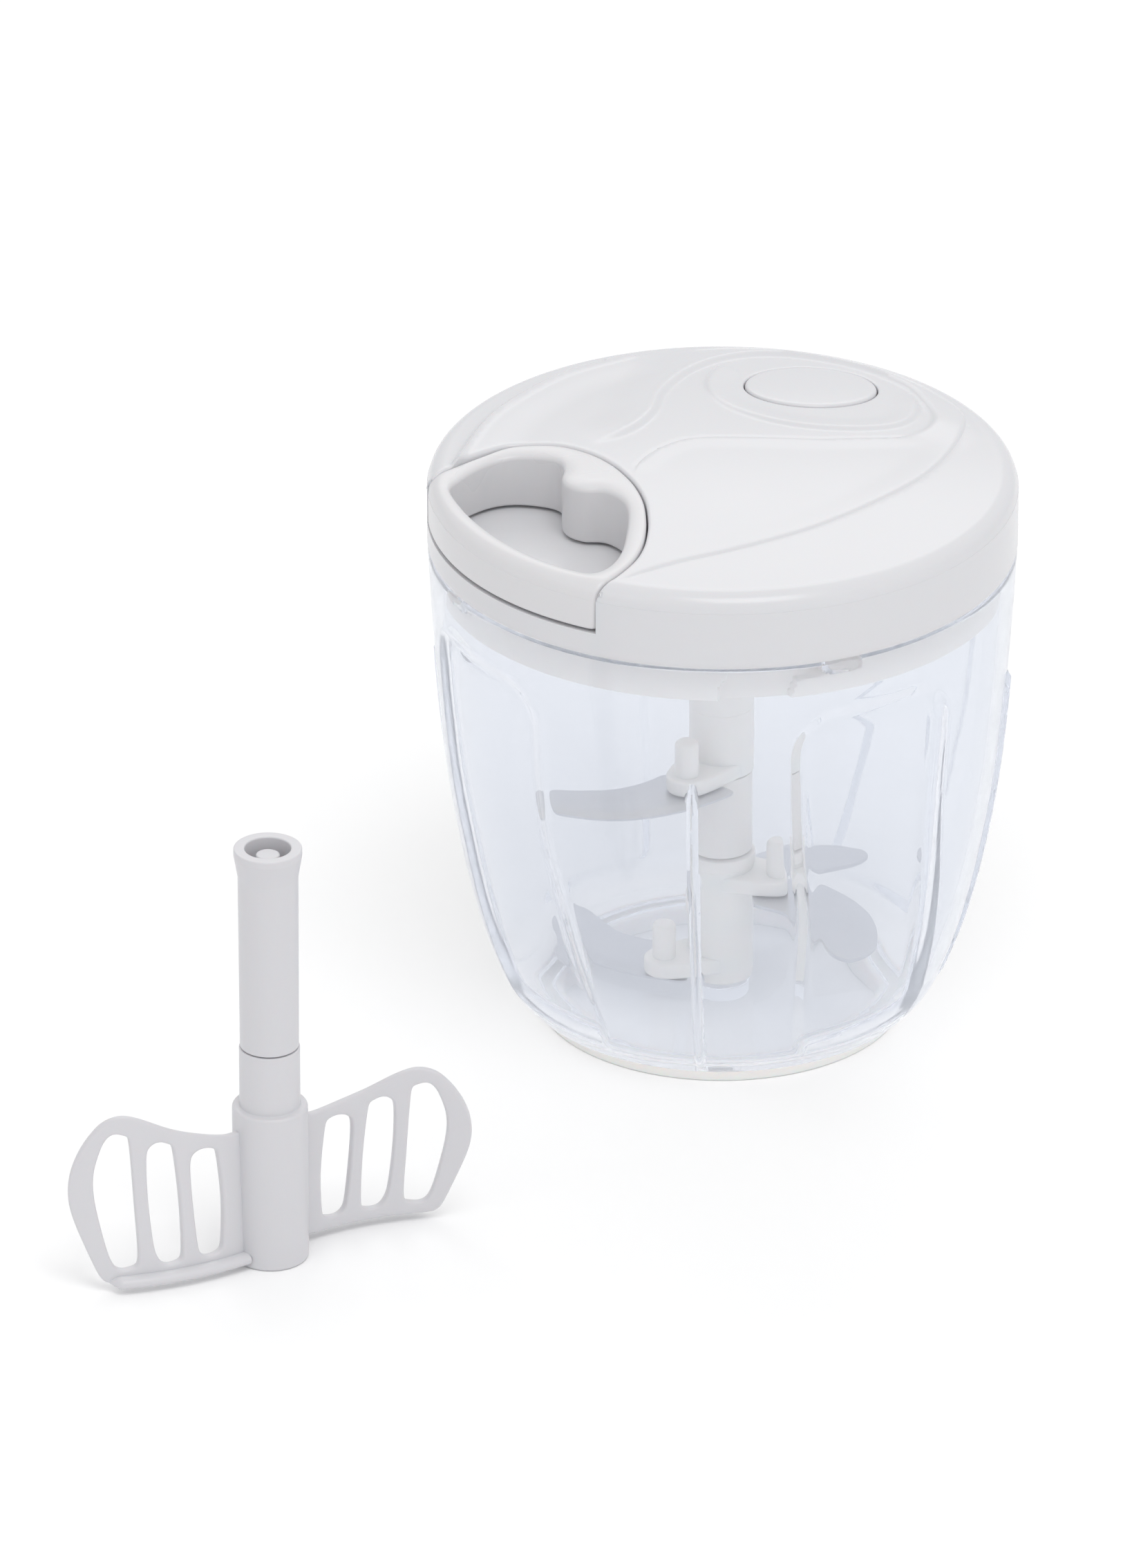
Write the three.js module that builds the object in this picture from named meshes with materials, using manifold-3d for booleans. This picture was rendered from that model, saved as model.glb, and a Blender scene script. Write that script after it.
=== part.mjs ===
// Manual food chopper: clear bowl, pull-cord lid, four-blade shaft and a loose mixing paddle.
// Millimetres, +Z up, built round the bowl's axis with the table at z = 0.

import * as THREE from "three";
import { mergeVertices } from "three/addons/utils/BufferGeometryUtils.js";
import Module from "manifold-3d";

const wasm = await Module();
wasm.setup();

// Shared sizes
const fit = 0.3;
const weldGap = 0.0001;
const over = 6;
const roundSides = 48;
const smallSides = 24;
const pinSides = 12;
const quarterTurn = Math.PI / 2;
const fullTurn = Math.PI * 2;

// Bowl sizes
const bowlHeight = 111.6;
const bowlWall = 2.6;
const bowlUnderside = 4.2;
const floorThickness = 2.5;
const footFilletRadius = 5;
const rimRadius = 64;
// How far the side's profile is drawn in from the rim, from the foot up
const lowDraw = 20.2;
const kneeDraw = 14.2;
const middleDraw = 6.1;
const upperDraw = 2.3;
const kneeHeight = 14;
const middleHeight = 45;
const upperHeight = 75;
const finWidth = 1.8;
const finDepth = 0.9;
const finTop = 83;
const finTurn = -6;
const lobes = 4;
const panelTurn = 34.5;
const panelDepth = 1.5;

// A recessed panel seen from outside: shares of the rim's radius across and of the bowl's height up
const panelShares = [
  [-0.208, 0.085],
  [-0.297, 0.43],
  [-0.367, 0.793],
  [-0.341, 0.849],
  [-0.27, 0.89],
  [-0.172, 0.905],
  [0.083, 0.905],
  [0.18, 0.89],
  [0.252, 0.849],
  [0.278, 0.793],
  [0.305, 0.43],
  [0.35, 0.085],
];

// Foot sizes
const footInset = 3.55;
const footWidth = 6.75;
const footLip = 1.65;
const footRadius = rimRadius - lowDraw - footInset;
const footInnerRadius = footRadius - footWidth;
const footLedge = 1.2;
const downstandRadius = footRadius - footLip;
const downstandInnerRadius = footInnerRadius + footLip + fit;

// Pivot sizes
const pivotRadius = 2.5;
const pivotHeight = 22;
const pivotSeat = 2.2;
const pivotBossRadius = 6;
const pivotBossBottom = 1.2;

// Bayonet sizes
const lugStart = 20;
const lugSweep = 8;
const lugBottom = 108;
const lugTop = 111.3;
const lugReach = 2.2;
const unlockTurn = 18;
const turnSpare = 2.6;
const grooveDepth = 1.6;

// Lid sizes
const skirtGap = 0.9;
const skirtRadius = rimRadius - bowlWall - skirtGap;
const skirtWall = 2.8;
const skirtBottom = 103.4;
const neckStep = 0.6;
const lidBottom = 112;
const lidProud = 0.1;
const lidDraft = 0.6;
const lidSideRadius = rimRadius + lidProud;
const lidTopRadius = lidSideRadius - lidDraft;
const lidEdge = 129.2;
const lidEdgeRadius = 4;
const domeRise = 4.2;
const coverWall = 1.8;
const plateUnderside = 113.6;
const plateThickness = 2;
const gasketThickness = 1.4;

// Spring well and drive sizes
const wellRadius = 20;
const wellWall = 1.5;
const wellFloor = 108.3;
const bushRadius = 6.2;
const bushBore = 4.8;
const bushLength = 3.8;
const bushFlange = 8;
const bushFlangeThickness = 0.6;
const bushCollarWall = 2.5;
const journalRadius = 4.5;
const keyRadius = 3.9;
const keyLength = 10.5;
const thrustRadius = 7;
const thrustThickness = 1;
const stemRadius = 3;

// Spool and cord sizes
const cordRadius = 0.8;
const drumRadius = 7.5;
const drumHeight = 8;
const arborRadius = 5.9;
const flangeRadius = 14;
const flangeThickness = 1.1;
const springHeight = 4.4;
const springStrip = 0.5;
const springTurns = 6.5;
const springCoverThickness = 1;
const springCoverLap = 1;
const springCoverRadius = wellRadius + springCoverLap;
const ratchetTeeth = 10;
const ratchetRadius = 13;
const ratchetRoot = 10.6;
const ratchetCrest = 9.5;
const ratchetHeight = 2.6;
const ratchetSlopeShare = 0.96;

// Clutch sizes
const clutchRadius = 8.6;
const clutchDisc = 0.7;
const clutchHubRadius = 4.6;
const clutchHeight = 2;
const pawlPinRadius = 0.8;
const pawlPinPlace = 6.6;
const washerThickness = 0.4;
const screwHeadHeight = 1;

// Handle and dock sizes
const pullAngle = THREE.MathUtils.degToRad(-146);
const dockFloor = 117.5;
const dockWall = 1.6;
const dockFloorThickness = 1.7;
const handleBottom = 118.5;
const handleGap = 0.5;
const barWidth = 4.7;
const knotRadius = 2.2;
const guideRadius = 2.2;
const guideFlange = 3.2;

// Button sizes
// The button's middle, as shares of the lid's radius
const buttonShares = [0.3042, 0.5616];
const buttonX = buttonShares[0] * lidSideRadius;
const buttonY = buttonShares[1] * lidSideRadius;
const buttonHalfLength = 14.4;
const buttonHalfWidth = 11.5;
const buttonCrown = 0.6;
const buttonThickness = 3;
const buttonStemRadius = 2.6;
const buttonSpringRadius = 4.2;
const buttonWire = 0.35;
const buttonTurns = 5;
const ventSealRadius = 6;
const ventSealThickness = 1.2;

// Lid screw sizes
const screwInset = 14.1;
const screwCircle = lidSideRadius - screwInset;
const screwRadius = 1.5;
const screwHeadRadius = 3;
const screwLength = 9;
const lidScrewHead = 1.5;
const screwBossRadius = 3.4;
const screwTurns = [30, 140, 275];

// Blade shaft sizes
const hubRadius = 7.1;
const hubTop = 104.2;
const upperHubBottom = 57;
const tubeRadius = 6.8;
const lowerHubTop = 37.3;
const lowerHubBottom = 6.9;
const collarRadius = 7.5;
const collarHeight = 3.3;
const spigotRadius = 4.4;
const spigotLength = 7;
const socketRadius = 4.4;
const socketDepth = 13;

// Blade sizes
const bladeThickness = 0.9;
const lugPlateThickness = 3.6;
const lugPlateReach = 17.8;
const lugPlateEnd = 4.8;
const pegPlace = 13.3;
const pegRadius = 2.6;
const pegHeight = 8.2;
const pegShank = 1.5;
const pegShankBelow = 0.6;
// The peg's domed top: shares of its radius, at heights below its top as shares of its radius
const pegDomeShares = [
  [1, 0.5],
  [0.85, 0.17],
  [0.45, 0],
];
const lugTipShare = 0.75;
const bladeClearance = 3.4;
const bladeShortening = 3;
const longReach = rimRadius - kneeDraw - bladeClearance;
const shortReach = longReach - bladeShortening;

// Each blade's height is the underside of its lug plate
const bladeSets = {
  upper: { underside: upperHubBottom, plateTurn: -125, bladeTurn: -124, reach: shortReach },
  right: { underside: 29.5, plateTurn: -20, bladeTurn: -16, reach: longReach },
  rear: { underside: 19.5, plateTurn: 80, bladeTurn: 82, reach: longReach },
  left: { underside: 9.5, plateTurn: -159, bladeTurn: -180, reach: shortReach },
};

// A crescent blade seen from above, as shares of its reach from the shaft
const bladeShares = [
  [0.182, 0.018],
  [0.175, 0.187],
  [0.311, 0.166],
  [0.447, 0.115],
  [0.548, 0.058],
  [0.641, -0.007],
  [0.72, -0.085],
  [0.78, -0.168],
  [0.835, -0.29],
  [0.864, -0.424],
  [0.851, -0.516],
  [0.781, -0.624],
  [0.682, -0.567],
  [0.608, -0.449],
  [0.528, -0.339],
  [0.417, -0.258],
  [0.24, -0.198],
  [0.175, -0.078],
];

// Paddle sizes
const paddleX = -97;
const paddleY = -119;
const paddleHeight = 97.6;
const paddleSeam = 50.7;
const paddleShoulder = 36.5;
const paddleHubRadius = 8.1;
const paddleNeckRadius = 6.5;
const paddleFlare = 7.3;
const paddleFlareHeight = 5;
const paddleSocket = 4.9;
const paddleSocketDepth = 16;
const paddleKey = 2.6;
const paddleKeyDrop = 1.5;
const wingReach = 43;
const wingHeight = 39.2;
const wingBottom = 1.8;
const wingThickness = 2;
const wingSweep = 17.2;
const wingPitchShare = 0.3;
const wingBendShare = 0.45;
const wingRunShare = 1.05;
const wingLip = 2.6;
const wingLipHeight = 3;

// A wing seen from the front, as shares of its reach and its height
const wingShares = [
  [0.12, 0.79],
  [0.34, 0.835],
  [0.48, 0.89],
  [0.64, 0.975],
  [0.735, 1],
  [0.825, 0.965],
  [0.9, 0.865],
  [0.965, 0.72],
  [1, 0.58],
  [0.985, 0.44],
  [0.92, 0.25],
  [0.8, 0],
  [0.12, 0],
];

// The wing's three slots, nearest the hub first, in the same shares
const slotShares = [
  [[0.265, 0.7], [0.33, 0.75], [0.395, 0.68], [0.39, 0.47], [0.365, 0.17], [0.31, 0.08], [0.245, 0.12], [0.24, 0.4]],
  [[0.48, 0.77], [0.55, 0.83], [0.61, 0.75], [0.605, 0.5], [0.58, 0.22], [0.52, 0.08], [0.44, 0.12], [0.45, 0.45]],
  [[0.695, 0.84], [0.765, 0.9], [0.83, 0.82], [0.87, 0.66], [0.865, 0.5], [0.82, 0.26], [0.75, 0.08], [0.655, 0.13],
    [0.67, 0.45]],
];

// Colours and finishes
const finishes = {
  clear: { color: 0xdfe8f4, roughness: 0.08, metalness: 0 },
  white: { color: 0xe9e8ec, roughness: 0.35, metalness: 0 },
  ivory: { color: 0xe4dfdc, roughness: 0.4, metalness: 0 },
  silicone: { color: 0xe3ddd9, roughness: 0.7, metalness: 0 },
  blade: { color: 0x9a9aa4, roughness: 0.25, metalness: 1 },
  steel: { color: 0xb8bac0, roughness: 0.3, metalness: 1 },
  cord: { color: 0xe8e6e2, roughness: 0.9, metalness: 0 },
};

// A closed geometry becomes a solid that can be cut and joined
function solidOf(geometry) {
  const bare = geometry.index ? geometry.toNonIndexed() : geometry.clone();
  bare.deleteAttribute("normal");
  bare.deleteAttribute("uv");
  const merged = mergeVertices(bare, weldGap);
  const triangles = [];
  const index = merged.index.array;
  for (let i = 0; i < index.length; i += 3) {
    const [a, b, c] = [index[i], index[i + 1], index[i + 2]];
    if (a !== b && b !== c && c !== a) {
      triangles.push(a, b, c);
    }
  }
  return new wasm.Manifold(
    new wasm.Mesh({
      numProp: 3,
      vertProperties: new Float32Array(merged.attributes.position.array),
      triVerts: new Uint32Array(triangles),
    }),
  );
}

// A solid becomes a geometry again
function geometryOf(solid) {
  const mesh = solid.getMesh();
  const geometry = new THREE.BufferGeometry();
  geometry.setAttribute("position", new THREE.BufferAttribute(mesh.vertProperties, 3));
  geometry.setIndex(new THREE.BufferAttribute(mesh.triVerts, 1));
  geometry.computeVertexNormals();
  return geometry;
}

// A profile of [radius, height] points turned about Z
function turned(profile, sides = smallSides) {
  const points = profile.map(([radius, height]) => new THREE.Vector2(radius, height));
  const onAxis = profile[0][0] === 0 && profile[profile.length - 1][0] === 0;
  if (!onAxis) {
    points.push(points[0].clone());
  }
  const area = THREE.ShapeUtils.area(points);
  if (area < 0) {
    points.reverse();
  }
  const geometry = new THREE.LatheGeometry(points, sides);
  geometry.rotateX(quarterTurn);
  return solidOf(geometry);
}

function disc(radius, bottom, top, sides = smallSides) {
  return turned([[0, bottom], [radius, bottom], [radius, top], [0, top]], sides);
}

function ring(inner, outer, bottom, top, sides = smallSides) {
  return turned([[inner, bottom], [outer, bottom], [outer, top], [inner, top]], sides);
}

function counterClockwise(outline) {
  const area = THREE.ShapeUtils.area(outline.map(([x, y]) => new THREE.Vector2(x, y)));
  return area < 0 ? [...outline].reverse() : outline;
}

// An outline of [x, y] points, with holes, raised from bottom to top
function raised(outline, bottom, top, holes = []) {
  const shape = new THREE.Shape(counterClockwise(outline).map(([x, y]) => new THREE.Vector2(x, y)));
  for (const hole of holes) {
    shape.holes.push(new THREE.Path(hole.map(([x, y]) => new THREE.Vector2(x, y))));
  }
  const geometry = new THREE.ExtrudeGeometry(shape, { depth: top - bottom, bevelEnabled: false });
  geometry.translate(0, 0, bottom);
  return solidOf(geometry);
}

function turnPoint([x, y], angle) {
  return [x * Math.cos(angle) - y * Math.sin(angle), x * Math.sin(angle) + y * Math.cos(angle)];
}

function turnAll(outline, angle) {
  return outline.map((point) => turnPoint(point, angle));
}

// Angles round the bowl are counted from the front, toward +X
function fromFront(degrees) {
  return THREE.MathUtils.degToRad(degrees) - quarterTurn;
}

// Part of a ring between two angles given in degrees from the front
function sector(inner, outer, start, end, bottom, top, steps = 12) {
  const outline = [];
  for (let i = 0; i <= steps; i += 1) {
    const angle = fromFront(start + ((end - start) * i) / steps);
    outline.push([outer * Math.cos(angle), outer * Math.sin(angle)]);
  }
  for (let i = steps; i >= 0; i -= 1) {
    const angle = fromFront(start + ((end - start) * i) / steps);
    outline.push([inner * Math.cos(angle), inner * Math.sin(angle)]);
  }
  return raised(outline, bottom, top);
}

function ellipse(halfLength, halfWidth, x, y, steps = 40) {
  const outline = [];
  for (let i = 0; i < steps; i += 1) {
    const angle = (fullTurn * i) / steps;
    outline.push([x + halfLength * Math.cos(angle), y + halfWidth * Math.sin(angle)]);
  }
  return outline;
}

// Points along a smooth curve through the given [x, y] points
function smooth(points, steps) {
  const curve = new THREE.CatmullRomCurve3(points.map(([x, y]) => new THREE.Vector3(x, y, 0)));
  return curve.getPoints(steps).map((point) => [point.x, point.y]);
}

// A cylinder between two heights, standing at a place in plan
function post(x, y, radius, bottom, top, sides = pinSides) {
  return disc(radius, bottom, top, sides).translate([x, y, 0]);
}

const group = new THREE.Group();

function addPart(name, solid, finish, parent = group) {
  const mesh = new THREE.Mesh(geometryOf(solid), new THREE.MeshStandardMaterial(finishes[finish]));
  mesh.name = name;
  parent.add(mesh);
  return mesh;
}

// Bowl

const bowlCurve = smooth(
  [
    [rimRadius - lowDraw, bowlUnderside],
    [rimRadius - kneeDraw, kneeHeight],
    [rimRadius - middleDraw, middleHeight],
    [rimRadius - upperDraw, upperHeight],
    [rimRadius, bowlHeight],
  ],
  9,
);
const floorTop = bowlUnderside + floorThickness;
const mouthRadius = rimRadius - bowlWall;

function makeBowl() {
  const inside = bowlCurve
    .filter(([, height]) => height > floorTop + footFilletRadius)
    .map(([radius, height]) => [radius - bowlWall, height]);
  const [nearFloor] = inside;
  const filletRadius = nearFloor[0] - footFilletRadius / 2;
  const profile = [
    [0, bowlUnderside],
    ...bowlCurve,
    ...inside.reverse(),
    [filletRadius, floorTop + footFilletRadius / 3],
    [filletRadius - footFilletRadius / 2, floorTop],
    [0, floorTop],
  ];
  let bowl = turned(profile, roundSides);
  bowl = bowl.add(ring(downstandInnerRadius, downstandRadius, footLedge + fit, bowlUnderside + fit, roundSides));
  bowl = bowl.add(disc(pivotBossRadius, pivotBossBottom, bowlUnderside + fit));
  bowl = bowl.subtract(disc(pivotRadius + fit, pivotSeat - fit, floorTop + over, pinSides));
  const outside = turned([[0, bowlUnderside], ...bowlCurve, [0, bowlHeight]], roundSides);
  const recess = makeRecess();
  for (let lobe = 0; lobe < lobes; lobe += 1) {
    const turn = (360 / lobes) * lobe;
    bowl = bowl.subtract(recess.rotate([0, 0, turn]));
    const start = lugStart + turn;
    bowl = bowl.add(
      sector(mouthRadius - lugReach, mouthRadius + fit, start, start + lugSweep, lugBottom, lugTop),
    );
    const fin = finOutline(fromFront(finTurn + turn));
    bowl = bowl.add(raised(fin, bowlUnderside, finTop).intersect(swollen(outside)).subtract(
      turned([[0, -over], ...bowlCurve.map(([r, z]) => [r - bowlWall / 2, z]), [0, bowlHeight + over]], roundSides),
    ));
  }
  return bowl;
}

// What one recessed panel takes off the outside of the wall
function makeRecess() {
  const outline = panelShares.map(([across, up]) => [across * rimRadius, up * bowlHeight]);
  const band = turned(
    [
      ...bowlCurve.map(([radius, height]) => [radius - panelDepth, height]),
      [rimRadius + over, bowlHeight],
      [rimRadius + over, bowlUnderside],
    ],
    roundSides,
  );
  return raised(outline, 0, rimRadius + over).rotate([90, 0, panelTurn]).intersect(band);
}

// A fin's outline is a thin strip from inside the wall to past it
function finOutline(angle) {
  const strip = [
    [(rimRadius - lowDraw) - bowlWall - over, -finWidth / 2],
    [rimRadius + over, -finWidth / 2],
    [rimRadius + over, finWidth / 2],
    [(rimRadius - lowDraw) - bowlWall - over, finWidth / 2],
  ];
  return turnAll(strip, angle);
}

// The bowl's outside, grown sideways by the depth of a fin
function swollen(outside) {
  const share = (rimRadius + finDepth) / rimRadius;
  return outside.scale([share, share, 1]);
}

addPart("bowl", makeBowl(), "clear");

const footProfile = [
  [footInnerRadius, 0],
  [footRadius, 0],
  [footRadius, bowlUnderside - fit],
  [downstandRadius + fit, bowlUnderside - fit],
  [downstandRadius + fit, footLedge],
  [downstandInnerRadius - fit, footLedge],
  [downstandInnerRadius - fit, bowlUnderside - fit],
  [footInnerRadius, bowlUnderside - fit],
];
addPart("base_ring", turned(footProfile, roundSides), "silicone");

const pivotProfile = [
  [0, pivotSeat],
  [pivotRadius, pivotSeat],
  [pivotRadius, pivotHeight - pivotRadius / 2],
  [pivotRadius / 2, pivotHeight],
  [0, pivotHeight],
];
addPart("pivot_pin", turned(pivotProfile, pinSides), "steel");

// Lid base with its skirt, bayonet grooves and spring well

const plateTop = plateUnderside + plateThickness;
const plateRadius = lidTopRadius - coverWall - fit;
const neckRadius = skirtRadius - neckStep;
const neckBottom = lugTop + fit;
const bushBottom = wellFloor + bushFlangeThickness - bushLength;

function makeLidBase() {
  const wellOutside = wellFloor - wellWall;
  let base = turned(
    [
      [bushRadius + fit, bushBottom],
      [bushRadius + fit + bushCollarWall, bushBottom],
      [bushRadius + fit + bushCollarWall, wellOutside],
      [wellRadius + wellWall, wellOutside],
      [wellRadius + wellWall, plateUnderside],
      [skirtRadius - skirtWall, plateUnderside],
      [skirtRadius - skirtWall, skirtBottom],
      [skirtRadius, skirtBottom],
      [skirtRadius, neckBottom],
      [neckRadius, neckBottom],
      [neckRadius, plateUnderside],
      [plateRadius, plateUnderside],
      [plateRadius, plateTop],
      [wellRadius, plateTop],
      [wellRadius, wellFloor],
      [bushRadius + fit, wellFloor],
    ],
    roundSides,
  );
  const grooveFloor = skirtRadius - grooveDepth;
  for (let lobe = 0; lobe < lobes; lobe += 1) {
    const turn = (360 / lobes) * lobe;
    const entryStart = lugStart - unlockTurn - turnSpare + turn;
    const entryEnd = lugStart + lugSweep - unlockTurn + turnSpare + turn;
    const grooveEnd = lugStart + lugSweep + fit + turn;
    const entry = sector(grooveFloor, skirtRadius + over, entryStart, entryEnd, skirtBottom - over, neckBottom);
    const channel = sector(grooveFloor, skirtRadius + over, entryStart, grooveEnd, lugBottom - fit, neckBottom);
    base = base.subtract(entry).subtract(channel);
  }
  for (const turn of screwTurns) {
    const [x, y] = turnPoint([screwCircle, 0], THREE.MathUtils.degToRad(turn));
    base = base.subtract(post(x, y, screwRadius + fit, plateUnderside - over, plateTop + over));
  }
  return base.subtract(post(buttonX, buttonY, buttonStemRadius + fit, plateUnderside - over, plateTop + over));
}

const lid = new THREE.Group();
group.add(lid);
addPart("lid_base", makeLidBase(), "white", lid);

const gasketOuter = lidSideRadius - coverWall - fit * 2;
const gasketBottom = bowlHeight + fit;
addPart(
  "lid_gasket",
  ring(neckRadius + fit, gasketOuter, gasketBottom, gasketBottom + gasketThickness, roundSides),
  "silicone",
);

// Lid cover with the dock for the pull handle

function domeHeight(radius) {
  const edge = lidTopRadius - lidEdgeRadius;
  return lidEdge + domeRise * (1 - (radius / edge) ** 2);
}

// The lid's outside as a plug, drawn in by a wall
function lidPlug(wall, bottom) {
  const edge = lidTopRadius - lidEdgeRadius;
  const profile = [[0, bottom], [lidSideRadius - wall, bottom]];
  for (let i = 0; i <= 5; i += 1) {
    const angle = (quarterTurn * i) / 5;
    const radius = edge + (lidEdgeRadius - wall) * Math.cos(angle);
    profile.push([radius, lidEdge - lidEdgeRadius + (lidEdgeRadius - wall) * Math.sin(angle)]);
  }
  for (let i = 4; i >= 0; i -= 1) {
    const radius = (edge * i) / 5;
    profile.push([radius, domeHeight(radius) - wall]);
  }
  return turned(profile, roundSides);
}

// The dock in the handle's own frame: [along the pull, across it], as shares of the lid's radius
const dockShares = [
  [1.25, -0.505],
  [0.83, -0.505],
  [0.6, -0.51],
  [0.51, -0.495],
  [0.4, -0.38],
  [0.345, -0.25],
  [0.35, -0.1],
  [0.375, 0.03],
  [0.412, 0.135],
  [0.51, 0.3],
  [0.587, 0.395],
  [0.688, 0.46],
  [0.83, 0.505],
  [1.25, 0.505],
];
// The finger opening's inner side, with the rounded boss that the cord is tied into
const openingShares = [
  [0.842, -0.398],
  [0.74, -0.44],
  [0.63, -0.462],
  [0.52, -0.4],
  [0.455, -0.306],
  [0.485, -0.24],
  [0.53, -0.19],
  [0.54, -0.13],
  [0.523, -0.061],
  [0.47, -0.03],
  [0.457, 0.067],
  [0.5, 0.17],
  [0.578, 0.27],
  [0.652, 0.352],
  [0.764, 0.408],
];

function fromShares(shares, size) {
  return shares.map(([along, across]) => [along * size, across * size]);
}

// A closed outline moved outward by a distance
function grown(outline, distance) {
  const count = outline.length;
  return outline.map((point, i) => {
    const before = outline[(i + count - 1) % count];
    const after = outline[(i + 1) % count];
    const first = new THREE.Vector2(point[0] - before[0], point[1] - before[1]).normalize();
    const second = new THREE.Vector2(after[0] - point[0], after[1] - point[1]).normalize();
    const outward = new THREE.Vector2(first.y + second.y, -first.x - second.x).normalize();
    const spread = outward.x * first.y - outward.y * first.x;
    return [point[0] + (outward.x * distance) / spread, point[1] + (outward.y * distance) / spread];
  });
}

const dockOutline = counterClockwise(turnAll(fromShares(dockShares, lidSideRadius), pullAngle));
const handleOutline = grown(dockOutline, -handleGap);

function fingerOpening() {
  const inner = fromShares(openingShares, lidSideRadius);
  const reach = lidSideRadius - barWidth;
  const start = Math.atan2(inner[inner.length - 1][1], inner[inner.length - 1][0]);
  const end = Math.atan2(inner[0][1], inner[0][0]);
  const arc = [];
  for (let i = 0; i <= 12; i += 1) {
    const angle = start + ((end - start) * i) / 12;
    arc.push([reach * Math.cos(angle), reach * Math.sin(angle)]);
  }
  return counterClockwise(turnAll([...inner, ...arc], pullAngle));
}

// The cord leaves the drum at a tangent, so its line passes beside the axis
const cordOffset = drumRadius + cordRadius;
const spoolBottom = plateTop + springCoverThickness + fit;
const drumBottom = spoolBottom + flangeThickness;
const cordHeight = drumBottom + drumHeight / 2;

function onCord(solid) {
  return solid
    .rotate([0, 90, 0])
    .translate([0, -cordOffset, cordHeight])
    .rotate([0, 0, THREE.MathUtils.radToDeg(pullAngle)]);
}

// The dock's inner wall on the cord's line, as a share of the lid's radius
const dockInnerShare = 0.352;
const dockInner = dockInnerShare * lidSideRadius;

function makeCover() {
  const dockTop = lidEdge + domeRise + over;
  const dock = raised(dockOutline, dockFloor, dockTop);
  const dockBlock = raised(grown(dockOutline, dockWall), dockFloor - dockFloorThickness, dockTop);
  const outside = lidPlug(0, lidBottom);
  let hollow = lidPlug(coverWall, lidBottom - over).subtract(dockBlock);
  for (const turn of screwTurns) {
    const [x, y] = turnPoint([screwCircle, 0], THREE.MathUtils.degToRad(turn));
    hollow = hollow.subtract(post(x, y, screwBossRadius, plateTop + fit, dockTop));
  }
  let cover = outside.subtract(hollow).subtract(dock);
  for (const turn of screwTurns) {
    const [x, y] = turnPoint([screwCircle, 0], THREE.MathUtils.degToRad(turn));
    cover = cover.subtract(post(x, y, screwRadius + fit, plateTop - over, plateTop + screwLength));
  }
  cover = cover.subtract(
    raised(ellipse(buttonHalfLength + fit, buttonHalfWidth + fit, buttonX, buttonY), lidEdge - over, dockTop),
  );
  return cover.subtract(onCord(disc(guideRadius + fit, dockInner - over, dockInner + over, pinSides)));
}

addPart("lid_cover", makeCover(), "white", lid);

// Pull handle with its knot pocket, and the cord

const knotShare = 0.455;
const knotPlace = knotShare * lidSideRadius;
const pocketHalf = knotRadius + fit;

function makeHandle() {
  const top = lidEdge + domeRise + over;
  let handle = lidPlug(0, lidBottom)
    .intersect(raised(handleOutline, handleBottom, top))
    .subtract(raised(fingerOpening(), dockFloor - over, top));
  const pocketOutline = [
    [knotPlace - pocketHalf, -pocketHalf],
    [knotPlace + pocketHalf, -pocketHalf],
    [knotPlace + pocketHalf, pocketHalf],
    [knotPlace - pocketHalf, pocketHalf],
  ].map(([x, y]) => [x, y - cordOffset]);
  const pocket = raised(turnAll(pocketOutline, pullAngle), handleBottom - over, cordHeight + pocketHalf);
  handle = handle.subtract(pocket);
  return handle.subtract(onCord(disc(cordRadius + fit, dockInner - over, knotPlace, pinSides)));
}

const handle = new THREE.Group();
lid.add(handle);
addPart("pull_handle", makeHandle(), "white", handle);

const knotShape = new THREE.SphereGeometry(knotRadius, 16, 10);
knotShape.rotateX(quarterTurn);
addPart("cord_knot", onCord(solidOf(knotShape).translate([0, 0, knotPlace])), "cord", handle);

const windingOuter = drumRadius + fit + cordRadius * 2;
const tailStart = Math.sqrt((windingOuter + fit) ** 2 - (cordOffset - cordRadius) ** 2);
const tailEnd = knotPlace - knotRadius - fit;
addPart("cord_tail", onCord(disc(cordRadius, tailStart, tailEnd, 10)), "cord", handle);

const guideProfile = [
  [cordRadius + fit, dockInner - dockWall - springCoverThickness],
  [guideFlange, dockInner - dockWall - springCoverThickness],
  [guideFlange, dockInner - dockWall - fit],
  [guideRadius, dockInner - dockWall - fit],
  [guideRadius, dockInner - fit],
  [cordRadius + fit, dockInner - fit],
];
addPart("cord_guide", onCord(turned(guideProfile, pinSides)), "steel", lid);

// Drive shaft, bush and return spring

const thrustBottom = wellFloor + bushFlangeThickness + fit;
const springBottom = thrustBottom + thrustThickness + fit;
const drumTop = drumBottom + drumHeight;
const clutchBottom = drumTop + flangeThickness + fit;
const stemTop = clutchBottom + clutchHeight;

const bushProfile = [
  [bushBore, bushBottom],
  [bushRadius, bushBottom],
  [bushRadius, wellFloor],
  [bushFlange, wellFloor],
  [bushFlange, wellFloor + bushFlangeThickness],
  [bushBore, wellFloor + bushFlangeThickness],
];
addPart("drive_bush", turned(bushProfile), "steel", lid);

function hexagon(radius) {
  const outline = [];
  for (let i = 0; i < 6; i += 1) {
    const angle = (fullTurn * i) / 6;
    outline.push([radius * Math.cos(angle), radius * Math.sin(angle)]);
  }
  return outline;
}

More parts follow.
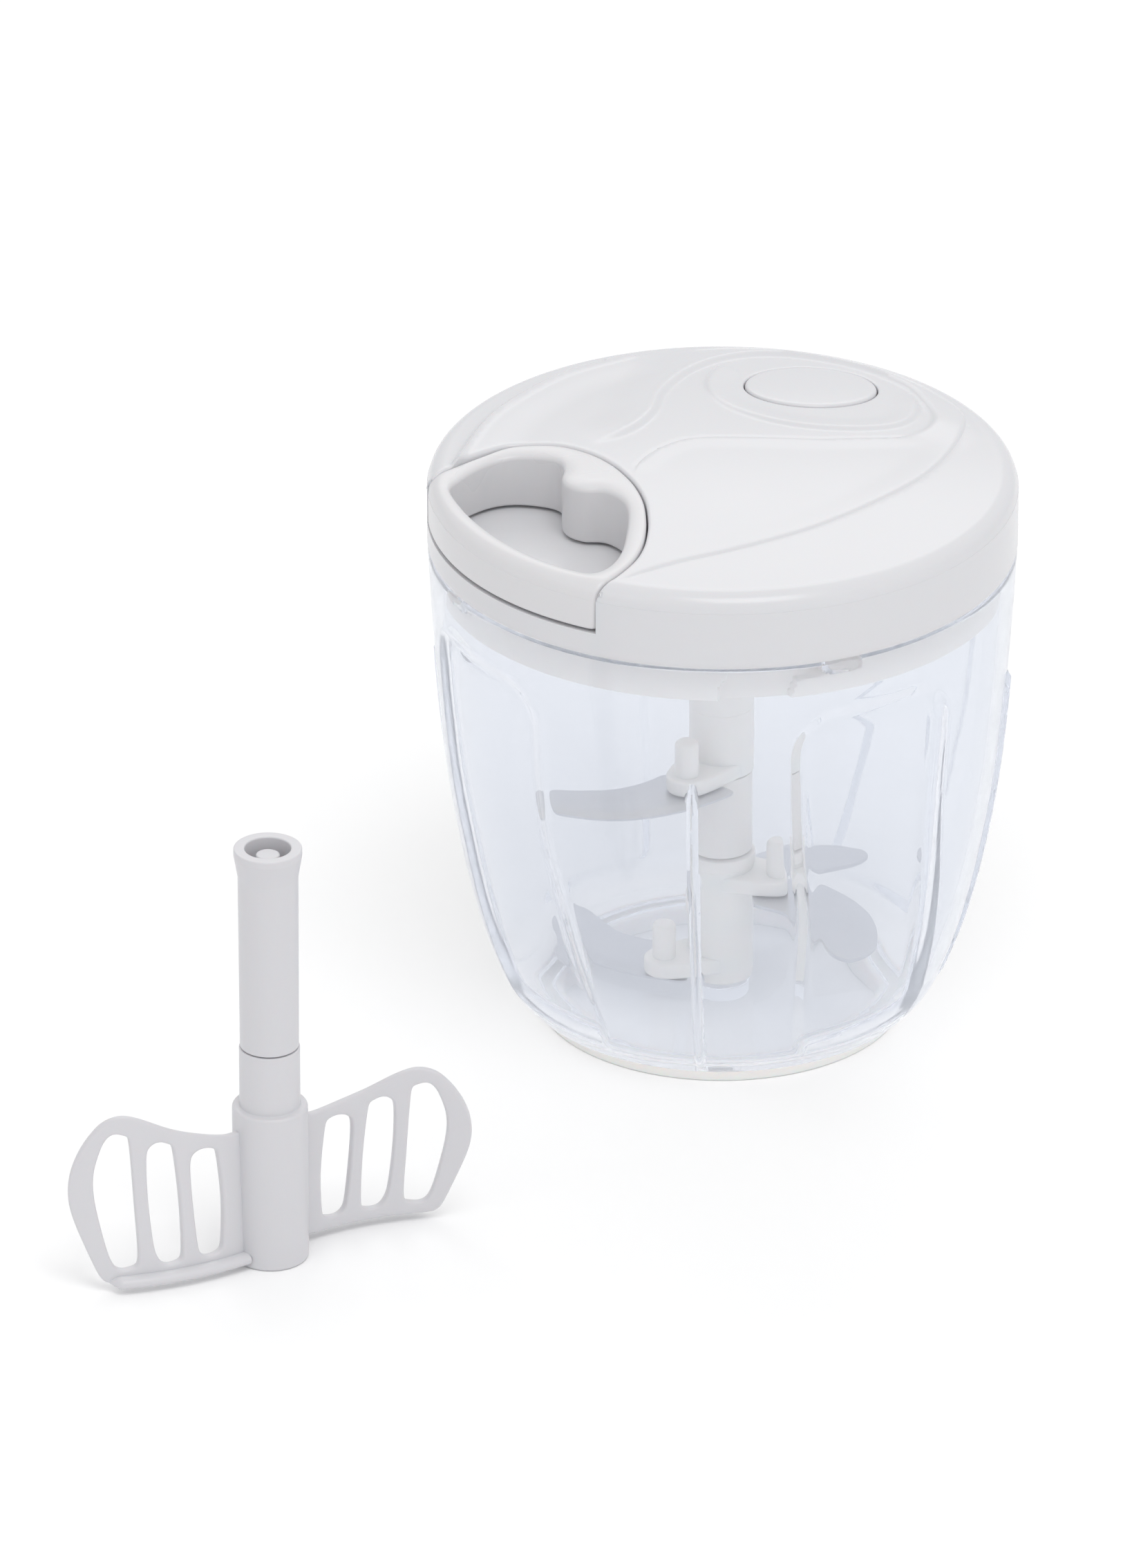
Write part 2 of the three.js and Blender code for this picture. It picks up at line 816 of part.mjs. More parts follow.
function makeDriveShaft() {
  const round = turned([
    [0, hubTop],
    [journalRadius, hubTop],
    [journalRadius, thrustBottom],
    [thrustRadius, thrustBottom],
    [thrustRadius, thrustBottom + thrustThickness],
    [stemRadius, thrustBottom + thrustThickness],
    [stemRadius, stemTop],
    [0, stemTop],
  ]);
  const key = raised(hexagon(keyRadius), hubTop - keyLength, hubTop + fit);
  return round.add(key).subtract(disc(screwRadius, stemTop - screwLength, stemTop + over, pinSides));
}

const drive = new THREE.Group();
lid.add(drive);
addPart("drive_shaft", makeDriveShaft(), "white", drive);

// A flat strip wound outward from the spool's arbor to the wall of its well
function makeRecoilSpring() {
  const steps = Math.round(springTurns * 16);
  const inner = arborRadius + fit + springStrip / 2;
  const outer = wellRadius - fit - springStrip / 2;
  const near = [];
  const far = [];
  for (let i = 0; i <= steps; i += 1) {
    const share = i / steps;
    const angle = springTurns * fullTurn * share;
    const radius = inner + (outer - inner) * share;
    near.push([(radius - springStrip / 2) * Math.cos(angle), (radius - springStrip / 2) * Math.sin(angle)]);
    far.push([(radius + springStrip / 2) * Math.cos(angle), (radius + springStrip / 2) * Math.sin(angle)]);
  }
  return raised([...far, ...near.reverse()], springBottom, springBottom + springHeight);
}

addPart("recoil_spring", makeRecoilSpring(), "steel", lid);
addPart(
  "spring_cover",
  ring(arborRadius + fit, springCoverRadius, plateTop, plateTop + springCoverThickness),
  "white",
  lid,
);

// Spool with its inner ratchet ring

function ratchetOutline() {
  const outline = [];
  for (let i = 0; i < ratchetTeeth; i += 1) {
    const angle = (fullTurn * i) / ratchetTeeth;
    const next = (fullTurn * (i + ratchetSlopeShare)) / ratchetTeeth;
    outline.push([ratchetCrest * Math.cos(angle), ratchetCrest * Math.sin(angle)]);
    outline.push([ratchetRoot * Math.cos(next), ratchetRoot * Math.sin(next)]);
  }
  return outline;
}

function makeSpool() {
  const body = turned([
    [stemRadius + fit, springBottom],
    [arborRadius, springBottom],
    [arborRadius, spoolBottom],
    [flangeRadius, spoolBottom],
    [flangeRadius, drumBottom],
    [drumRadius, drumBottom],
    [drumRadius, drumTop],
    [flangeRadius, drumTop],
    [flangeRadius, drumTop + flangeThickness],
    [stemRadius + fit, drumTop + flangeThickness],
  ]);
  const rim = disc(ratchetRadius, drumTop, drumTop + flangeThickness + ratchetHeight);
  const teeth = raised(ratchetOutline(), drumTop + flangeThickness, drumTop + flangeThickness + ratchetHeight + over);
  return body.add(rim.subtract(teeth).subtract(disc(stemRadius + fit, drumTop - over, drumTop + over)));
}

const spool = new THREE.Group();
lid.add(spool);
addPart("cord_spool", makeSpool(), "white", spool);
addPart(
  "cord_wound",
  ring(drumRadius + fit, windingOuter, drumBottom + fit, drumTop - fit),
  "cord",
  spool,
);

// One-way clutch: a disc keyed to the drive stem, with two pawls on pins

function pawlPlace(side) {
  return [side * pawlPinPlace, 0];
}

function makeClutch() {
  let clutch = disc(clutchRadius, clutchBottom, clutchBottom + clutchDisc);
  clutch = clutch.add(disc(clutchHubRadius, clutchBottom, stemTop));
  for (const side of [-1, 1]) {
    const [x, y] = pawlPlace(side);
    clutch = clutch.add(post(x, y, pawlPinRadius, clutchBottom, stemTop, 12));
  }
  return clutch.subtract(disc(stemRadius + fit, clutchBottom - over, stemTop + over));
}

addPart("clutch_disc", makeClutch(), "ivory", drive);

// A pawl lies from its pin to a ratchet tooth, as shares of the distance of the pin
const pawlShares = [
  [0.78, -0.25],
  [1.18, -0.28],
  [1.28, 0.1],
  [1.1, 0.8],
  [0.99, 0.8],
  [0.95, 0.3],
  [0.78, 0.1],
];

for (const side of [-1, 1]) {
  const outline = fromShares(pawlShares, pawlPinPlace * side);
  const [x, y] = pawlPlace(side);
  const pawl = raised(outline, clutchBottom + clutchDisc + fit, stemTop - fit).subtract(
    post(x, y, pawlPinRadius + fit, clutchBottom - over, stemTop + over, 12),
  );
  addPart(side < 0 ? "clutch_pawl_1" : "clutch_pawl_2", pawl, "steel", drive);
}

addPart(
  "axle_washer",
  ring(screwRadius + fit, clutchHubRadius - fit, stemTop, stemTop + washerThickness),
  "steel",
  drive,
);
const axleScrewProfile = [
  [0, stemTop - screwLength + fit * 2],
  [screwRadius - fit, stemTop - screwLength + fit * 2],
  [screwRadius - fit, stemTop + washerThickness],
  [screwHeadRadius, stemTop + washerThickness],
  [screwHeadRadius, stemTop + washerThickness + screwHeadHeight],
  [0, stemTop + washerThickness + screwHeadHeight],
];
addPart("axle_screw", turned(axleScrewProfile, pinSides), "steel", drive);

// Vent button with its spring and seal

const buttonEdge = domeHeight(Math.hypot(buttonX, buttonY));
const ventSealTop = plateUnderside - fit;

function makeButton() {
  const outline = ellipse(buttonHalfLength, buttonHalfWidth, buttonX, buttonY);
  const rim = ellipse(buttonHalfLength - buttonCrown, buttonHalfWidth - buttonCrown, buttonX, buttonY);
  const cap = raised(outline, buttonEdge - buttonThickness, buttonEdge + over).intersect(
    lidPlug(0, lidBottom),
  );
  const crown = raised(rim, buttonEdge - buttonThickness, buttonEdge + over).intersect(
    lidPlug(0, lidBottom).translate([0, 0, buttonCrown]),
  );
  const stem = post(
    buttonX,
    buttonY,
    buttonStemRadius,
    ventSealTop - ventSealThickness - fit - pegShankBelow,
    buttonEdge - buttonThickness + fit,
  );
  return cap.add(crown).add(stem);
}

const button = new THREE.Group();
lid.add(button);
addPart("vent_button", makeButton(), "white", button);
addPart(
  "vent_seal",
  ring(buttonStemRadius + fit, ventSealRadius, ventSealTop - ventSealThickness, ventSealTop).translate([
    buttonX,
    buttonY,
    0,
  ]),
  "silicone",
  button,
);

// A helix of round wire standing on the plate round the button's stem
class Helix extends THREE.Curve {
  constructor(radius, bottom, top, turns) {
    super();
    Object.assign(this, { radius, bottom, top, turns });
  }

  getPoint(share, target = new THREE.Vector3()) {
    const angle = this.turns * fullTurn * share;
    const height = this.bottom + (this.top - this.bottom) * share;
    return target.set(this.radius * Math.cos(angle), this.radius * Math.sin(angle), height);
  }
}

function makeButtonSpring() {
  const wire = new THREE.Shape(
    ellipse(buttonWire, buttonWire, 0, 0, 5).map(([x, y]) => new THREE.Vector2(x, y)),
  );
  const path = new Helix(
    buttonSpringRadius,
    plateTop + fit + buttonWire,
    buttonEdge - buttonThickness - fit - buttonWire,
    buttonTurns,
  );
  const geometry = new THREE.ExtrudeGeometry(wire, { steps: buttonTurns * 10, extrudePath: path });
  return solidOf(geometry).translate([buttonX, buttonY, 0]);
}

addPart("button_spring", makeButtonSpring(), "steel", lid);

// Lid screws, from below through the plate into the cover's bosses

const screwProfile = [
  [0, plateUnderside - fit - lidScrewHead],
  [screwHeadRadius, plateUnderside - fit - lidScrewHead],
  [screwHeadRadius, plateUnderside - fit],
  [screwRadius, plateUnderside - fit],
  [screwRadius, plateTop + screwLength - fit * 2],
  [0, plateTop + screwLength - fit * 2],
];
screwTurns.forEach((turn, i) => {
  const [x, y] = turnPoint([screwCircle, 0], THREE.MathUtils.degToRad(turn));
  addPart(`lid_screw_${i + 1}`, turned(screwProfile, pinSides).translate([x, y, 0]), "steel", lid);
});

// Blade shaft

// A lug plate stands out from its hub and narrows to a rounded end round the peg
function lugPlate(set) {
  const outline = [
    [0, hubRadius],
    [pegPlace, lugPlateEnd],
    [lugPlateReach - pegRadius / 2, lugPlateEnd * lugTipShare],
    [lugPlateReach, 0],
    [lugPlateReach - pegRadius / 2, -lugPlateEnd * lugTipShare],
    [pegPlace, -lugPlateEnd],
    [0, -hubRadius],
  ];
  const angle = THREE.MathUtils.degToRad(set.plateTurn);
  const [x, y] = turnPoint([pegPlace, 0], angle);
  const plate = raised(turnAll(counterClockwise(outline), angle), set.underside, set.underside + lugPlateThickness);
  return plate.subtract(post(x, y, pegShank + fit, set.underside - over, set.underside + lugPlateThickness + over));
}

const blades = new THREE.Group();
group.add(blades);

const upperHubBody = turned([
  [spigotRadius - bowlWall, upperHubBottom - spigotLength],
  [spigotRadius, upperHubBottom - spigotLength],
  [spigotRadius, upperHubBottom],
  [hubRadius, upperHubBottom],
  [hubRadius, hubTop - fit],
  [hubRadius - bowlWall / 4, hubTop - fit],
  [spigotRadius - bowlWall, hubTop - fit],
]);
const socketCut = raised(hexagon(socketRadius), hubTop - socketDepth, hubTop + over);
const upperBore = disc(spigotRadius - bowlWall + fit, upperHubBottom - over * 2, hubTop + over, pinSides);
addPart(
  "upper_hub",
  upperHubBody.subtract(socketCut).add(lugPlate(bladeSets.upper)).subtract(upperBore),
  "white",
  blades,
);

addPart(
  "middle_tube",
  ring(spigotRadius + fit, tubeRadius, lowerHubTop + fit, upperHubBottom - fit),
  "ivory",
  blades,
);

function makeLowerHub() {
  let hub = turned([
    [0, lowerHubBottom],
    [hubRadius, lowerHubBottom],
    [hubRadius, lowerHubTop - collarHeight],
    [collarRadius, lowerHubTop - collarHeight + fit],
    [collarRadius, lowerHubTop - fit],
    [hubRadius, lowerHubTop],
    [spigotRadius, lowerHubTop],
    [spigotRadius, lowerHubTop + spigotLength],
    [0, lowerHubTop + spigotLength],
  ]);
  for (const name of ["right", "rear", "left"]) {
    hub = hub.add(lugPlate(bladeSets[name]).subtract(disc(hubRadius - bowlWall, 0, hubTop)));
  }
  return hub.subtract(disc(pivotRadius + fit, lowerHubBottom - over, pivotHeight + fit, pinSides));
}

addPart("lower_hub", makeLowerHub(), "white", blades);

function makeBlade(set) {
  const angle = THREE.MathUtils.degToRad(set.bladeTurn);
  const outline = turnAll(counterClockwise(fromShares(bladeShares, set.reach)), angle);
  const top = set.underside - fit;
  const [x, y] = turnPoint([pegPlace, 0], THREE.MathUtils.degToRad(set.plateTurn));
  return raised(outline, top - bladeThickness, top).subtract(
    post(x, y, pegShank + fit, top - over, top + over),
  );
}

function makePeg(set) {
  const [x, y] = turnPoint([pegPlace, 0], THREE.MathUtils.degToRad(set.plateTurn));
  const seat = set.underside + lugPlateThickness;
  const profile = [
    [0, set.underside - fit - bladeThickness - pegShankBelow],
    [pegShank, set.underside - fit - bladeThickness - pegShankBelow],
    [pegShank, seat],
    [pegRadius, seat],
    ...pegDomeShares.map(([out, down]) => [pegRadius * out, seat + pegHeight - pegRadius * down]),
    [0, seat + pegHeight],
  ];
  return turned(profile, pinSides).translate([x, y, 0]);
}

for (const [name, set] of Object.entries(bladeSets)) {
  addPart(`blade_${name}`, makeBlade(set), "blade", blades);
  addPart(`peg_${name}`, makePeg(set), "white", blades);
}

// Mixing paddle

const paddle = new THREE.Group();
paddle.position.set(paddleX, paddleY, 0);
group.add(paddle);

// Points of the wing's sweep seen from above, from the hub out
function wingSweepPoints(side) {
  const curve = new THREE.QuadraticBezierCurve(
    new THREE.Vector2(0, 0),
    new THREE.Vector2(wingReach * wingBendShare, wingSweep),
    new THREE.Vector2(wingReach * wingRunShare, wingSweep),
  );
  return curve.getPoints(10).map((point) => [point.x, point.y + side]);
}

// The curved wall cut to the wing's outline, then leaned back toward the hub with height
function makeWing() {
  const half = wingThickness / 2;
  const band = [...wingSweepPoints(-half), ...wingSweepPoints(half).reverse()];
  const wall = raised(band, wingBottom, wingBottom + wingHeight);
  const lipBand = [...wingSweepPoints(half / 2), ...wingSweepPoints(half + wingLip).reverse()];
  const lip = raised(lipBand, wingBottom, wingBottom + wingLipHeight);
  const size = ([along, up]) => [along * wingReach, wingBottom + up * (wingHeight - wingBottom)];
  const face = raised(wingShares.map(size), -wingReach, wingReach, slotShares.map((slot) => slot.map(size)));
  const standing = face.rotate([90, 0, 0]);
  const wing = wall.add(lip).intersect(standing);
  return wing.warp((point) => {
    point[1] *= 1 - (wingPitchShare * point[2]) / wingHeight;
  });
}

function makePaddleBody() {
  const body = turned([
    [0, 0],
    [paddleHubRadius, 0],
    [paddleHubRadius, paddleShoulder - paddleHubRadius / 4],
    [paddleHubRadius - paddleHubRadius / 12, paddleShoulder - paddleHubRadius / 12],
    [paddleHubRadius - paddleHubRadius / 4, paddleShoulder],
    [paddleNeckRadius, paddleShoulder],
    [paddleNeckRadius, paddleSeam - fit],
    [spigotRadius, paddleSeam - fit],
    [spigotRadius, paddleSeam + spigotLength],
    [0, paddleSeam + spigotLength],
  ]);
  const wing = makeWing();
  return body
    .add(wing)
    .add(wing.rotate([0, 0, 180]))
    .subtract(disc(pivotRadius + fit, -over, pivotHeight, pinSides));
}

function makePaddleTube() {
  const body = turned([
    [0, paddleSeam],
    [paddleNeckRadius, paddleSeam],
    [paddleHubRadius - bowlWall / 2, paddleHeight - paddleFlareHeight],
    [paddleFlare, paddleHeight - paddleFlareHeight / 3],
    [paddleFlare, paddleHeight - fit],
    [paddleFlare - fit, paddleHeight],
    [0, paddleHeight],
  ]);
  const socket = ring(
    paddleKey,
    paddleSocket,
    paddleHeight - paddleSocketDepth,
    paddleHeight + over,
  );
  const keyTop = disc(paddleSocket, paddleHeight - paddleKeyDrop, paddleHeight + over);
  const spigotBore = disc(spigotRadius + fit, paddleSeam - over, paddleSeam + spigotLength + fit);
  return body.subtract(socket).subtract(keyTop).subtract(spigotBore);
}

addPart("paddle_body", makePaddleBody(), "white", paddle);
addPart("paddle_tube", makePaddleTube(), "white", paddle);

// The origin is the middle of the footprint on the table
const footprint = new THREE.Box3().setFromObject(group, true);
const middle = footprint.getCenter(new THREE.Vector3());
group.position.set(-middle.x, -middle.y, 0);

export default group;
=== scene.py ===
import math

import bmesh
import bpy
import numpy as np
from mathutils import Matrix, Vector
from mathutils.geometry import delaunay_2d_cdt
from mathutils.kdtree import KDTree


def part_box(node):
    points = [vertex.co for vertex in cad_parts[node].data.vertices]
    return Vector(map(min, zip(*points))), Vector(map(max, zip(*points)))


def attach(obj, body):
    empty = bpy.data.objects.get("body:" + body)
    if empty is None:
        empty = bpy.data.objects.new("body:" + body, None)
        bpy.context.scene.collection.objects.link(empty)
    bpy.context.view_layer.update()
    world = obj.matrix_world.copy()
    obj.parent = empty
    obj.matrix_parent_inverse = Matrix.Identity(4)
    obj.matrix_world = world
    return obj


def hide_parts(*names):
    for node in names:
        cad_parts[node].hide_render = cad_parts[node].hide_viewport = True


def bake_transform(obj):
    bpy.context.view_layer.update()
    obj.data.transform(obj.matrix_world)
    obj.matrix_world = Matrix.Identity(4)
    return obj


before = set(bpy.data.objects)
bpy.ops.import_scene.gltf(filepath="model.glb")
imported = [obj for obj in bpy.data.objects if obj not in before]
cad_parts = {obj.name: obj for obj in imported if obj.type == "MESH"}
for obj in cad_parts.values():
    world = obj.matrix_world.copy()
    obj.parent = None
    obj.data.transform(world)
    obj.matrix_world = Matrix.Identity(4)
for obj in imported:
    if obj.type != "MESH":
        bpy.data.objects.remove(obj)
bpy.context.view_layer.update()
scene = bpy.context.scene

# Places in the frame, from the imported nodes. Pieces are drawn in millimetres round one of these axes.
bowlLow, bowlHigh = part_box("bowl")
bowlAxis = ((bowlLow.x + bowlHigh.x) / 2, (bowlLow.y + bowlHigh.y) / 2)
tubeLow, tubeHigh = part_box("paddle_tube")
paddleAxis = ((tubeLow.x + tubeHigh.x) / 2, (tubeLow.y + tubeHigh.y) / 2)
millimetre = 0.001

# Mesh helpers


def smoothStep(low, high, value):
    share = np.clip((value - low) / (high - low), 0, 1)
    return share * share * (3 - 2 * share)


def picked(size, names):
    return [size[name] for name in names.split()]


def radii(points):
    return np.hypot(points[:, 0], points[:, 1])


def onCircle(radius, angles):
    return np.column_stack([radius * np.cos(angles), radius * np.sin(angles)])


def flat(height):
    # A height function that is the same everywhere
    return lambda plan: np.full(len(plan), height)


def loopArea(loop):
    # Twice the area, positive for an anticlockwise loop
    after = np.roll(loop, -1, axis=0)
    return np.sum(loop[:, 0] * after[:, 1] - after[:, 0] * loop[:, 1])


def gridFaces(rows, count, around=True, flip=False):
    # Four-sided faces between rows of points, each row closed on itself if it runs around
    faces = []
    for row in range(0, (rows - 1) * count, count):
        for i in range(count if around else count - 1):
            j = (i + 1) % count
            face = (row + i, row + count + i, row + count + j, row + j)
            faces.append((face[0], *face[:0:-1]) if flip else face)
    return faces


def tubeFaces(rows, sides, flip=False):
    order = -1 if flip else 1
    ends = [tuple(range(sides))[::order], tuple(range((rows - 1) * sides, rows * sides))[::-order]]
    return gridFaces(rows, sides, flip=flip) + ends


def smoothLine(points, spacing=0.5, closed=False):
    # Catmull-Rom curve through the points, sampled evenly
    points = np.asarray(points, float)
    if closed:
        padded = np.vstack([points[-1], points, points[0], points[1]])
    else:
        padded = np.vstack([2 * points[0] - points[1], points, 2 * points[-1] - points[-2]])
    line = []
    for i in range(1, len(padded) - 2):
        p0, p1, p2, p3 = padded[i - 1:i + 3]
        t = np.linspace(0, 1, 24, endpoint=False)[:, None]
        line.append(0.5 * (2 * p1 + (p2 - p0) * t + (2 * p0 - 5 * p1 + 4 * p2 - p3) * t ** 2
                           + (3 * p1 - p0 - 3 * p2 + p3) * t ** 3))
    line = np.vstack(line + [padded[-2][None]])
    return evenly(line, spacing)


def evenly(line, spacing):
    # The same line with evenly spaced points; a closed line repeats its first point at the end
    steps = np.hypot(*np.diff(line, axis=0).T)
    along = np.concatenate([[0], np.cumsum(steps)])
    count = max(4, int(round(along[-1] / spacing)))
    at = np.linspace(0, along[-1], count + 1)
    return np.column_stack([np.interp(at, along, line[:, 0]), np.interp(at, along, line[:, 1])])


def closedLoop(points, spacing=0.5, turnWay=1):
    # Loop without the repeated end point, anticlockwise for turnWay 1 and clockwise for -1
    loop = smoothLine(points, spacing, closed=True)[:-1]
    return loop if loopArea(loop) * turnWay > 0 else loop[::-1]


def softened(loop, passes=4):
    for _ in range(passes):
        loop = (np.roll(loop, 1, axis=0) + 2 * loop + np.roll(loop, -1, axis=0)) / 4
    return loop


def inward(loop):
    # Unit vectors from each point toward the material, which lies on the loop's left
    ahead = np.roll(loop, -1, axis=0) - np.roll(loop, 1, axis=0)
    ahead /= np.hypot(ahead[:, 0], ahead[:, 1])[:, None] + 1e-12
    return np.column_stack([-ahead[:, 1], ahead[:, 0]])


def insideLoops(points, loops):
    inside = np.zeros(len(points), bool)
    for loop in loops:
        a, b = loop, np.roll(loop, -1, axis=0)
        for (x1, y1), (x2, y2) in zip(a, b):
            if y1 == y2:
                continue
            crosses = (points[:, 1] > min(y1, y2)) & (points[:, 1] <= max(y1, y2))
            at = x1 + (points[:, 1] - y1) * (x2 - x1) / (y2 - y1)
            inside ^= crosses & (points[:, 0] < at)
    return inside


def nearest(points, line, closed=False):
    # Distance, side and place along the line of each point's nearest spot on it
    a = line if closed else line[:-1]
    b = np.roll(line, -1, axis=0) if closed else line[1:]
    best = np.full(len(points), 1e9)
    side = np.zeros(len(points))
    place = np.zeros(len(points))
    step = b - a
    lengths = np.hypot(step[:, 0], step[:, 1])
    starts = np.concatenate([[0], np.cumsum(lengths)])
    for i in range(len(a)):
        along = np.clip(((points - a[i]) @ step[i]) / max(lengths[i] ** 2, 1e-12), 0, 1)
        gap = points - a[i] - along[:, None] * step[i]
        distance = np.hypot(gap[:, 0], gap[:, 1])
        closer = distance < best
        best[closer] = distance[closer]
        turn = step[i][0] * (points[:, 1] - a[i][1]) - step[i][1] * (points[:, 0] - a[i][0])
        side[closer] = np.sign(turn[closer])
        place[closer] = (starts[i] + along[closer] * lengths[i]) / starts[-1]
    return best, side, place


def within(points, loops, gap):
    # The points inside the loops that keep the gap from them
    points = points[insideLoops(points, loops)]
    return points[np.all([nearest(points, loop, closed=True)[0] > gap for loop in loops], axis=0)]


def fillRegion(loops, spacing, extra=None):
    # Triangles over the region inside the loops, with even points between them that give way to the extra ones
    border = np.vstack(loops)
    low, high = border.min(0), border.max(0)
    across = np.arange(low[0], high[0], spacing)
    rows = np.arange(low[1], high[1], spacing * math.sqrt(3) / 2)
    grid = np.vstack([np.column_stack([across + (i % 2) * spacing / 2, np.full(len(across), y)])
                      for i, y in enumerate(rows)])
    grid = within(grid, loops, spacing * 0.6)
    if extra is not None:
        extra = within(extra, loops, spacing * 0.35)
        tree = KDTree(len(extra))
        for i, (x, y) in enumerate(extra):
            tree.insert((x, y, 0), i)
        tree.balance()
        clear = [tree.find((x, y, 0))[2] >= spacing * 0.62 for x, y in grid]
        grid = np.vstack([grid[clear], extra])
    points = np.vstack([border, grid])
    edges, start = [], 0
    for loop in loops:
        edges += [(start + i, start + (i + 1) % len(loop)) for i in range(len(loop))]
        start += len(loop)
    made = delaunay_2d_cdt([Vector(p) for p in points], edges, [], 0, 1e-6)
    source, added = [], []
    for place, origin in zip(made[0], made[3]):
        # Where two edges cross, the triangulation adds a point of its own
        source.append(origin[0] if origin else len(points) + len(added))
        if not origin:
            added.append(tuple(place))
    if added:
        points = np.vstack([points, np.array(added)])
    triangles = np.array([[source[v] for v in face] for face in made[2] if len(face) == 3])
    centres = points[triangles].mean(1)
    return points, triangles[insideLoops(centres, loops)]


def roundedSlab(loops, top, bottom, topRound, bottomRound, spacing, weight=None, steps=4, extra=None,
                openBelow=False):
    # A region in plan between two height functions, with rounded edges. Loops run with the material on
    # their left. The weight says how much of the rounding each border point gets.
    border = np.vstack(loops)
    into = np.vstack([inward(loop) for loop in loops])
    weight = np.ones(len(border)) if weight is None else weight
    rings = []
    for i in range(steps + 1):
        angle = math.pi / 2 * (1 - i / steps)
        plan = border + into * (topRound * (1 - math.cos(angle)))
        rings.append(np.column_stack([plan, top(plan) - weight * topRound * (1 - math.sin(angle))]))
    if openBelow:
        steps, bottomRound = 1, 0
    for i in range(steps if openBelow else steps + 1):
        angle = math.pi / 2 * i / steps
        plan = border + into * (bottomRound * (1 - math.cos(angle)))
        rings.append(np.column_stack([plan, bottom(plan) + bottomRound * (1 - math.sin(angle))]))
    count, sizes = len(border), [len(loop) for loop in loops]
    points, faces = np.vstack(rings), []
    for ring in range(len(rings) - 1):
        start = ring * count
        for size in sizes:
            for i in range(size):
                j = (i + 1) % size
                faces.append((start + i, start + count + i, start + count + j, start + j))
            start += size
    covers = [(0, top, 1)] if openBelow else [(0, top, 1), (len(rings) - 1, bottom, -1)]
    for ring, height, order in covers:
        plan, triangles = fillRegion(np.split(rings[ring][:, :2], np.cumsum(sizes)[:-1]), spacing, extra)
        offset = len(points) - count
        points = np.vstack([points, np.column_stack([plan[count:], height(plan[count:])])])
        faces += [tuple(ring * count + v if v < count else offset + v for v in triangle)[::order]
                  for triangle in triangles]
    return points, faces


def roundedProfile(corners, steps=5):
    # Corners are (radius, height, rounding)
    line = []
    for i, (radius, height, rounding) in enumerate(corners):
        here = np.array([radius, height], float)
        if rounding == 0 or i in (0, len(corners) - 1):
            line.append(here)
            continue
        before = np.array(corners[i - 1][:2], float) - here
        after = np.array(corners[i + 1][:2], float) - here
        lengthBefore, lengthAfter = np.hypot(*before), np.hypot(*after)
        u, v = before / lengthBefore, after / lengthAfter
        angle = math.acos(np.clip(u @ v, -1, 1))
        back = min(rounding / math.tan(angle / 2), 0.49 * lengthBefore, 0.49 * lengthAfter)
        start, end = here + u * back, here + v * back
        for step in range(steps + 1):
            t = step / steps
            line.append((1 - t) ** 2 * start + 2 * t * (1 - t) * here + t ** 2 * end)
    return np.array(line)


def latheMesh(profile, sides):
    # A profile of (radius, height) turned about the axis, as points and faces
    turns = np.arange(sides) * 2 * math.pi / sides
    points = np.array([(r * math.cos(a), r * math.sin(a), z) for r, z in profile for a in turns])
    return points, gridFaces(len(profile), sides)


def lathed(corners, steps, sides=96):
    return latheMesh(roundedProfile(corners, steps), sides)


def cleanMesh(mesh, sharpDegrees, mergeAt=2e-6):
    work = bmesh.new()
    work.from_mesh(mesh)
    bmesh.ops.remove_doubles(work, verts=work.verts, dist=mergeAt)
    bmesh.ops.dissolve_degenerate(work, edges=work.edges, dist=1e-7)
    bmesh.ops.recalc_face_normals(work, faces=work.faces)
    work.to_mesh(mesh)
    work.free()
    mesh.shade_smooth()
    mesh.set_sharp_from_angle(angle=math.radians(sharpDegrees))


def linked(name, data):
    piece = bpy.data.objects.new(name, data)
    scene.collection.objects.link(piece)
    return piece


def newObject(name, points, faces, sharpDegrees=40):
    mesh = bpy.data.meshes.new(name)
    mesh.from_pydata((np.asarray(points, float) * millimetre).tolist(), [], [tuple(map(int, f)) for f in faces])
    cleanMesh(mesh, sharpDegrees)
    return linked(name, mesh)


def evaluatedMesh(piece):
    graph = bpy.context.evaluated_depsgraph_get()
    graph.update()
    return bpy.data.meshes.new_from_object(piece.evaluated_get(graph), depsgraph=graph)


def joinShapes(*shapes):
    points, faces, start = [], [], 0
    for shapePoints, shapeFaces in shapes:
        points.append(np.asarray(shapePoints, float))
        faces += [tuple(int(v) + start for v in face) for face in shapeFaces]
        start += len(shapePoints)
    return np.vstack(points), faces


def settle(piece, axis, body, material, nodes, sharpDegrees=40):
    # Puts a finished piece in its place in the frame, gives it its material, joins it to its body and hides the nodes
    # it stands for
    piece.data.transform(Matrix.Translation((*axis, 0)))
    piece.data.materials.clear()
    piece.data.materials.append(material)
    piece.data.shade_smooth()
    piece.data.set_sharp_from_angle(angle=math.radians(sharpDegrees))
    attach(piece, body)
    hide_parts(*nodes)


# Node trees, for geometry and for materials


def addSockets(tree, way, sockets):
    for name, kind, value in sockets:
        socket = tree.interface.new_socket(name, in_out=way, socket_type="NodeSocket" + kind)
        if value is not None:
            socket.default_value = value


def setInputs(node, values):
    for key, value in values.items():
        node.inputs[key].default_value = value


